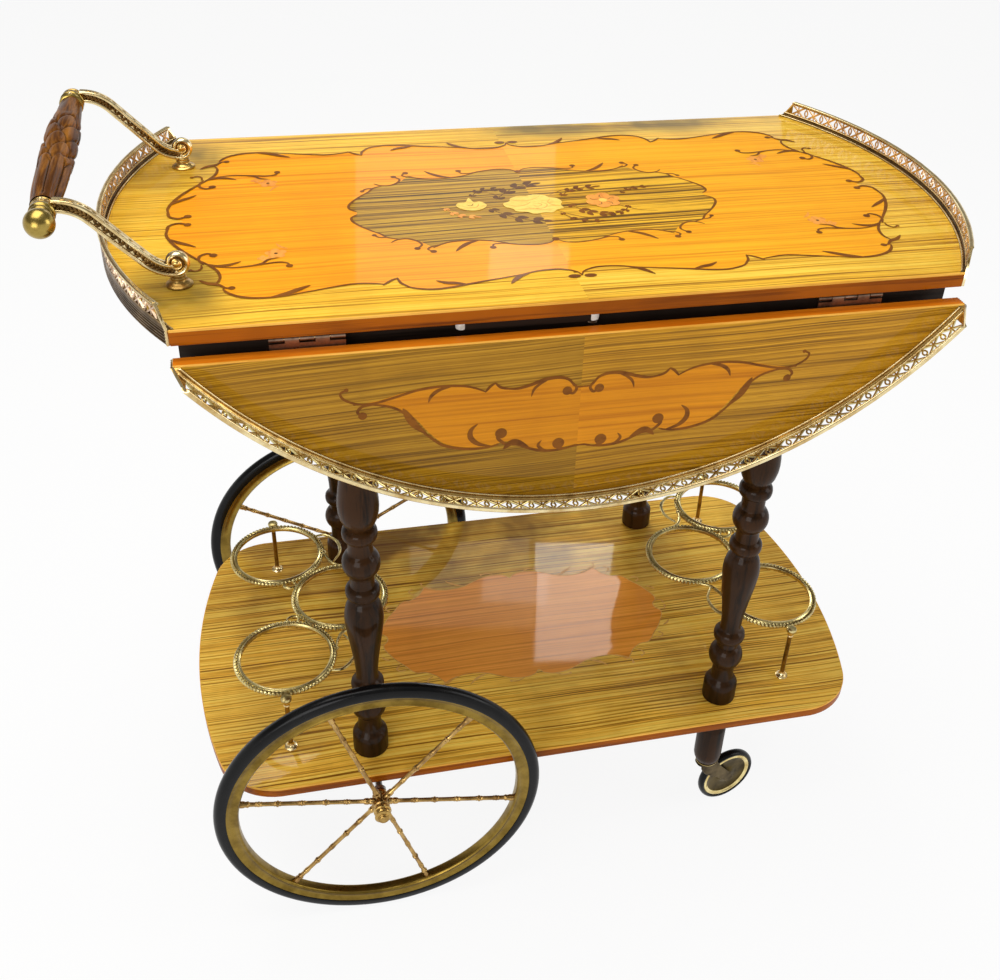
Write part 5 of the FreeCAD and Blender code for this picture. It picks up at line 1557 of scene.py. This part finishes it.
def grip():
    rows = []
    for i in range(181):
        y = -GRIP_HALF + 2 * GRIP_HALF * i / 180
        row = []
        for angle in turns(120):
            r = grip_radius(y, angle)
            row.append((GRIP_X + r * cos(angle), y, GRIP_Z + r * sin(angle)))
        rows.append(row)
    made = Shape().skin(rows)
    for y in (-GRIP_HALF, GRIP_HALF):
        made.lathe([(8.6, y), (4.1, y)], (GRIP_X, 0, GRIP_Z), "y", 40)
    piece("CarvedGrip", made, "carcass", ["carved"], ["handle_grip"], 60.0)

    collar = [(8.2, 0.1), (11.7, 0.1), (12.7, 0.9), (12.7, 2.3), (11.7, 3.1), (11.4, 4.2), (11.6, 7.6)]
    collar += [(12.5, 8.4), (12.8, 9.6), (12.3, 10.8), (10.8, 11.6), (9.4, 11.6)]
    profile = [(r * 0.84, GRIP_HALF - a) for r, a in collar]
    made = Shape().lathe(profile, (GRIP_X, 0, GRIP_Z), "y", 40)
    made.ball((GRIP_X, GRIP_HALF - 5.8, GRIP_Z + 9.8), (1.9, 1.9, 1.6), 12, 6, 1)
    made.ball((GRIP_X, -HANDLE_SPAN, GRIP_Z + 9.4), (2.1, 2.1, 1.7), 12, 6, 1)
    piece("GripCollar", made, "carcass", ["knob", "bright"])


def grip_ends():
    """The ball on the near end and the low nut on the far one, both made for the near end."""
    start = -(HANDLE_SPAN + 4.5)
    ball, neck = 11.6, 8.4
    shoulder = start - 12
    middle = shoulder - math.sqrt(ball * ball - neck * neck)
    cap = [(BORE, -9.8), (BORE, 0), (9.6, 0), (10.0, -0.6), (10.0, -3.0), (9.0, -4.0), (8.6, -5.4)]
    cap += [(9.4, -6.6), (9.8, -8.2), (9.4, -9.8)]
    cap = [(r, start + y) for r, y in cap]
    first = math.atan2(shoulder - middle, neck)
    for k in range(15):
        angle = first - (first + pi / 2) * k / 14
        cap.append(polar(0, middle, ball, angle))
    nut = [(BORE, -9.8), (BORE, 0), (8.6, 0), (8.9, -0.6), (8.9, -2.4), (8.2, -3.2), (7.4, -4.4)]
    nut += [(7.4, -7.0), (6.6, -9.6), (4.6, -11.4), (2.2, -12.2), (0.0, -12.4)]
    nut = [(r, start + y) for r, y in nut]
    made = Shape()
    for side, profile in ((1, cap), (-1, nut)):
        one = Shape().lathe(profile, (0, 0, 0), "y", 48)
        made.join(one, lambda x, y, z: (GRIP_X + x, y * side, GRIP_Z + z))
    piece("GripEndCaps", made, "carcass", ["knob"], ["handle_end_caps"])


def handle():
    for end, side in ENDS:
        shape = handle_arm(HANDLE_SPAN * side)
        tints = ["brass", "bright", "aged"]
        piece(f"{end}_CastArm", shape, "carcass", tints, [f"{end}_handle_arm"])
    grip()
    grip_ends()


# pieces that stay as the CAD made them, and small ones added beside them


def carried_over():
    finishes = {
        "frame": ["front_rail", "back_rail", "cross_rails", "front_support_arm", "back_support_arm"],
        "nylon": ["front_support_glide", "back_support_glide"],
        "hinge": ["support_pivots"] + [f"{end}_{of}hinge_plates" for end, _ in ENDS for of in ("", "leaf_")],
        "bright": ["hinge_pins"],
        "steel": ["wheel_axle", "axle_clips", "handle_rod"],
    }
    for finish, names in finishes.items():
        for name in names:
            item = frame["nodes"][name]
            item.data.materials.clear()
            item.data.materials.append(M[finish])


def support_tips():
    """Pale moulded caps on each swinging support arm: a ring round its pivot, a cap on its free end."""
    low, high = TOP - BOARD - 9.05, TOP - BOARD - 0.7
    for end, side in ENDS:
        shape = Shape()
        for x, radius, bore in ((2.0, 5.6, 2.65), (-109.0, 4.7, 0)):
            cap = [(bore, low), (radius - 1.0, low), (radius - 0.2, low + 0.7), (radius, low + 1.8)]
            cap += [(radius, high - 1.6), (radius - 0.3, high - 0.5), (radius - 1.2, high), (bore, high)]
            shape.lathe(cap, (x * -side, SUPPORT_Y * side, 0), sides=24, loop=bore > 0)
        piece(f"{end}_SupportTips", shape, f"{end}_support", ["nylon"])


def screws():
    """Countersunk screws in the leaves' hinge plates."""
    head = [(0, 0.7), (0.9, 0.7), (1.9, 0.6), (2.6, 0.3), (2.8, 0.0), (0, 0.0)]
    one = Shape().lathe(head, (0, 0, 0), sides=16)
    z = LEAF_EDGE - 12.0
    for end, side in ENDS:
        shape = Shape()
        for middle in (-HINGE_X, HINGE_X):
            for off in (-20.0, 0.0, 20.0):
                x = middle + off
                shape.join(one, lambda a, b, h: (x + a, side * (HINGE_FACE - h), z + b))
        piece(f"{end}_HingeScrews", shape, f"{end}_leaf", ["steel"])


# stage, light and camera


def stage():
    """A pale floor that the camera and the lacquer see brighter than the lamps light it."""
    mesh = bpy.data.meshes.new("StudioFloor")
    reach, z = 9.0, -0.0006
    corners = [(-reach, -reach, z), (reach, -reach, z), (reach, reach, z), (-reach, reach, z)]
    mesh.from_pydata(corners, [], [(0, 1, 2, 3)])
    floor = bpy.data.objects.new("StudioFloor", mesh)
    bpy.context.scene.collection.objects.link(floor)
    material = bpy.data.materials.new("PaleFloor")
    material.use_nodes = True
    nodes, link = material.node_tree.nodes, material.node_tree.links.new
    nodes.clear()
    plain = nodes.new("ShaderNodeBsdfDiffuse")
    plain.inputs["Color"].default_value = (0.9, 0.9, 0.9, 1)
    glow = nodes.new("ShaderNodeEmission")
    glow.inputs["Color"].default_value = (1, 1, 1, 1)
    glow.inputs["Strength"].default_value = 1.0
    rays = nodes.new("ShaderNodeLightPath")
    seen = nodes.new("ShaderNodeMath")
    seen.operation = "MAXIMUM"
    link(rays.outputs["Is Camera Ray"], seen.inputs[0])
    link(rays.outputs["Is Glossy Ray"], seen.inputs[1])
    share = nodes.new("ShaderNodeMath")
    share.operation = "MULTIPLY"
    link(seen.outputs[0], share.inputs[0])
    share.inputs[1].default_value = 0.9
    both = nodes.new("ShaderNodeMixShader")
    link(share.outputs[0], both.inputs["Fac"])
    link(plain.outputs[0], both.inputs[1])
    link(glow.outputs[0], both.inputs[2])
    link(both.outputs[0], nodes.new("ShaderNodeOutputMaterial").inputs["Surface"])
    mesh.materials.append(material)


def world():
    """A bright low band, a dark one above it and a paler ceiling, for the lacquer to mirror."""
    made = bpy.data.worlds.new("Studio")
    bpy.context.scene.world = made
    made.use_nodes = True
    nodes, link = made.node_tree.nodes, made.node_tree.links.new
    place = nodes.new("ShaderNodeTexCoord")
    parts = nodes.new("ShaderNodeSeparateXYZ")
    link(place.outputs["Generated"], parts.inputs[0])
    ramp = nodes.new("ShaderNodeValToRGB")
    link(parts.outputs["Z"], ramp.inputs["Fac"])
    stops = [(0.0, (1.0, 1.0, 1.0, 1.0)), (0.16, (0.95, 0.95, 0.95, 1.0)), (0.32, (0.22, 0.21, 0.2, 1.0))]
    stops += [(0.75, (0.3, 0.3, 0.29, 1.0)), (1.0, (0.6, 0.6, 0.6, 1.0))]
    set_stops(ramp.color_ramp, stops)
    back = nodes["Background"]
    link(ramp.outputs["Color"], back.inputs["Color"])
    back.inputs["Strength"].default_value = 1.0


def lamp(name, place, target, size, power, tint=(1.0, 1.0, 1.0)):
    data = bpy.data.lights.new(name, "AREA")
    data.shape = "RECTANGLE"
    data.size, data.size_y = size
    data.energy = power
    data.color = tint
    item = bpy.data.objects.new(name, data)
    item.location = place
    aim = Vector(target) - Vector(place)
    item.rotation_euler = aim.to_track_quat("-Z", "Y").to_euler()
    item.visible_camera = False
    bpy.context.scene.collection.objects.link(item)


def lamps():
    """Name, place, target, size, power and tint. The first three make the lacquer's reflections."""
    lamp("WindowLight", (0.2 + SHIFT, 1.6, 1.45), (-0.1, 0.0, 0.73), (0.48, 0.44), 0.8)
    lamp("WindowGlint", (0.39 + SHIFT, 1.6, 1.6), (-0.03, -0.1, 0.73), (0.2, 0.1), 0.16)
    lamp("ShelfWindow", (0.213 + SHIFT, 0.42, 0.555), (0.15, -0.2, 0.47), (0.15, 0.28), 0.85)
    lamp("CeilingLight", (-0.5, 0.2, 2.6), (0.0, 0.0, 0.4), (2.2, 1.6), 38.0, (1.0, 0.98, 0.95))
    lamp("FrontLight", (-1.5, -2.4, 1.35), (0.0, 0.0, 0.35), (1.6, 1.4), 28.0)
    lamp("SideLight", (2.4, -0.8, 1.5), (0.1, 0.0, 0.5), (1.2, 1.4), 15.0)


def camera():
    """The camera solved from the photo's edges and wheels: lengths in its pixels, angles in radians."""
    wide, high = 1000.0, 980.0
    focal, centre_x, centre_y = 1174.207, 526.828, 435.603
    yaw, pitch, roll = 0.248215, 0.598311, 0.045802
    place = (-0.259324 + SHIFT, -1.021096, 1.179053)
    data = bpy.data.cameras.new("PhotoCamera")
    data.sensor_width = 36.0
    data.lens = focal * data.sensor_width / wide
    data.shift_x = (wide / 2 - centre_x) / wide
    data.shift_y = (centre_y - high / 2) / wide
    data.clip_start, data.clip_end = 0.05, 60.0
    item = bpy.data.objects.new("PhotoCamera", data)
    forward = Vector((sin(yaw) * cos(pitch), cos(yaw) * cos(pitch), -sin(pitch)))
    right = Vector((cos(yaw), -sin(yaw), 0))
    up = right.cross(forward)
    across = right * cos(roll) + up * sin(roll)
    upright = up * cos(roll) - right * sin(roll)
    turn = Matrix((across, upright, -forward)).transposed()
    item.matrix_world = Matrix.Translation(place) @ turn.to_4x4()
    bpy.context.scene.collection.objects.link(item)
    bpy.context.scene.camera = item


table_top()
leaves()
shelf()
galleries()
legs()
rings()
ring_posts()
wheels()
wheel_caps()
casters()
handle()
screws()
support_tips()
carried_over()
stage()
world()
lamps()
camera()
bpy.context.scene.view_settings.view_transform = "Standard"
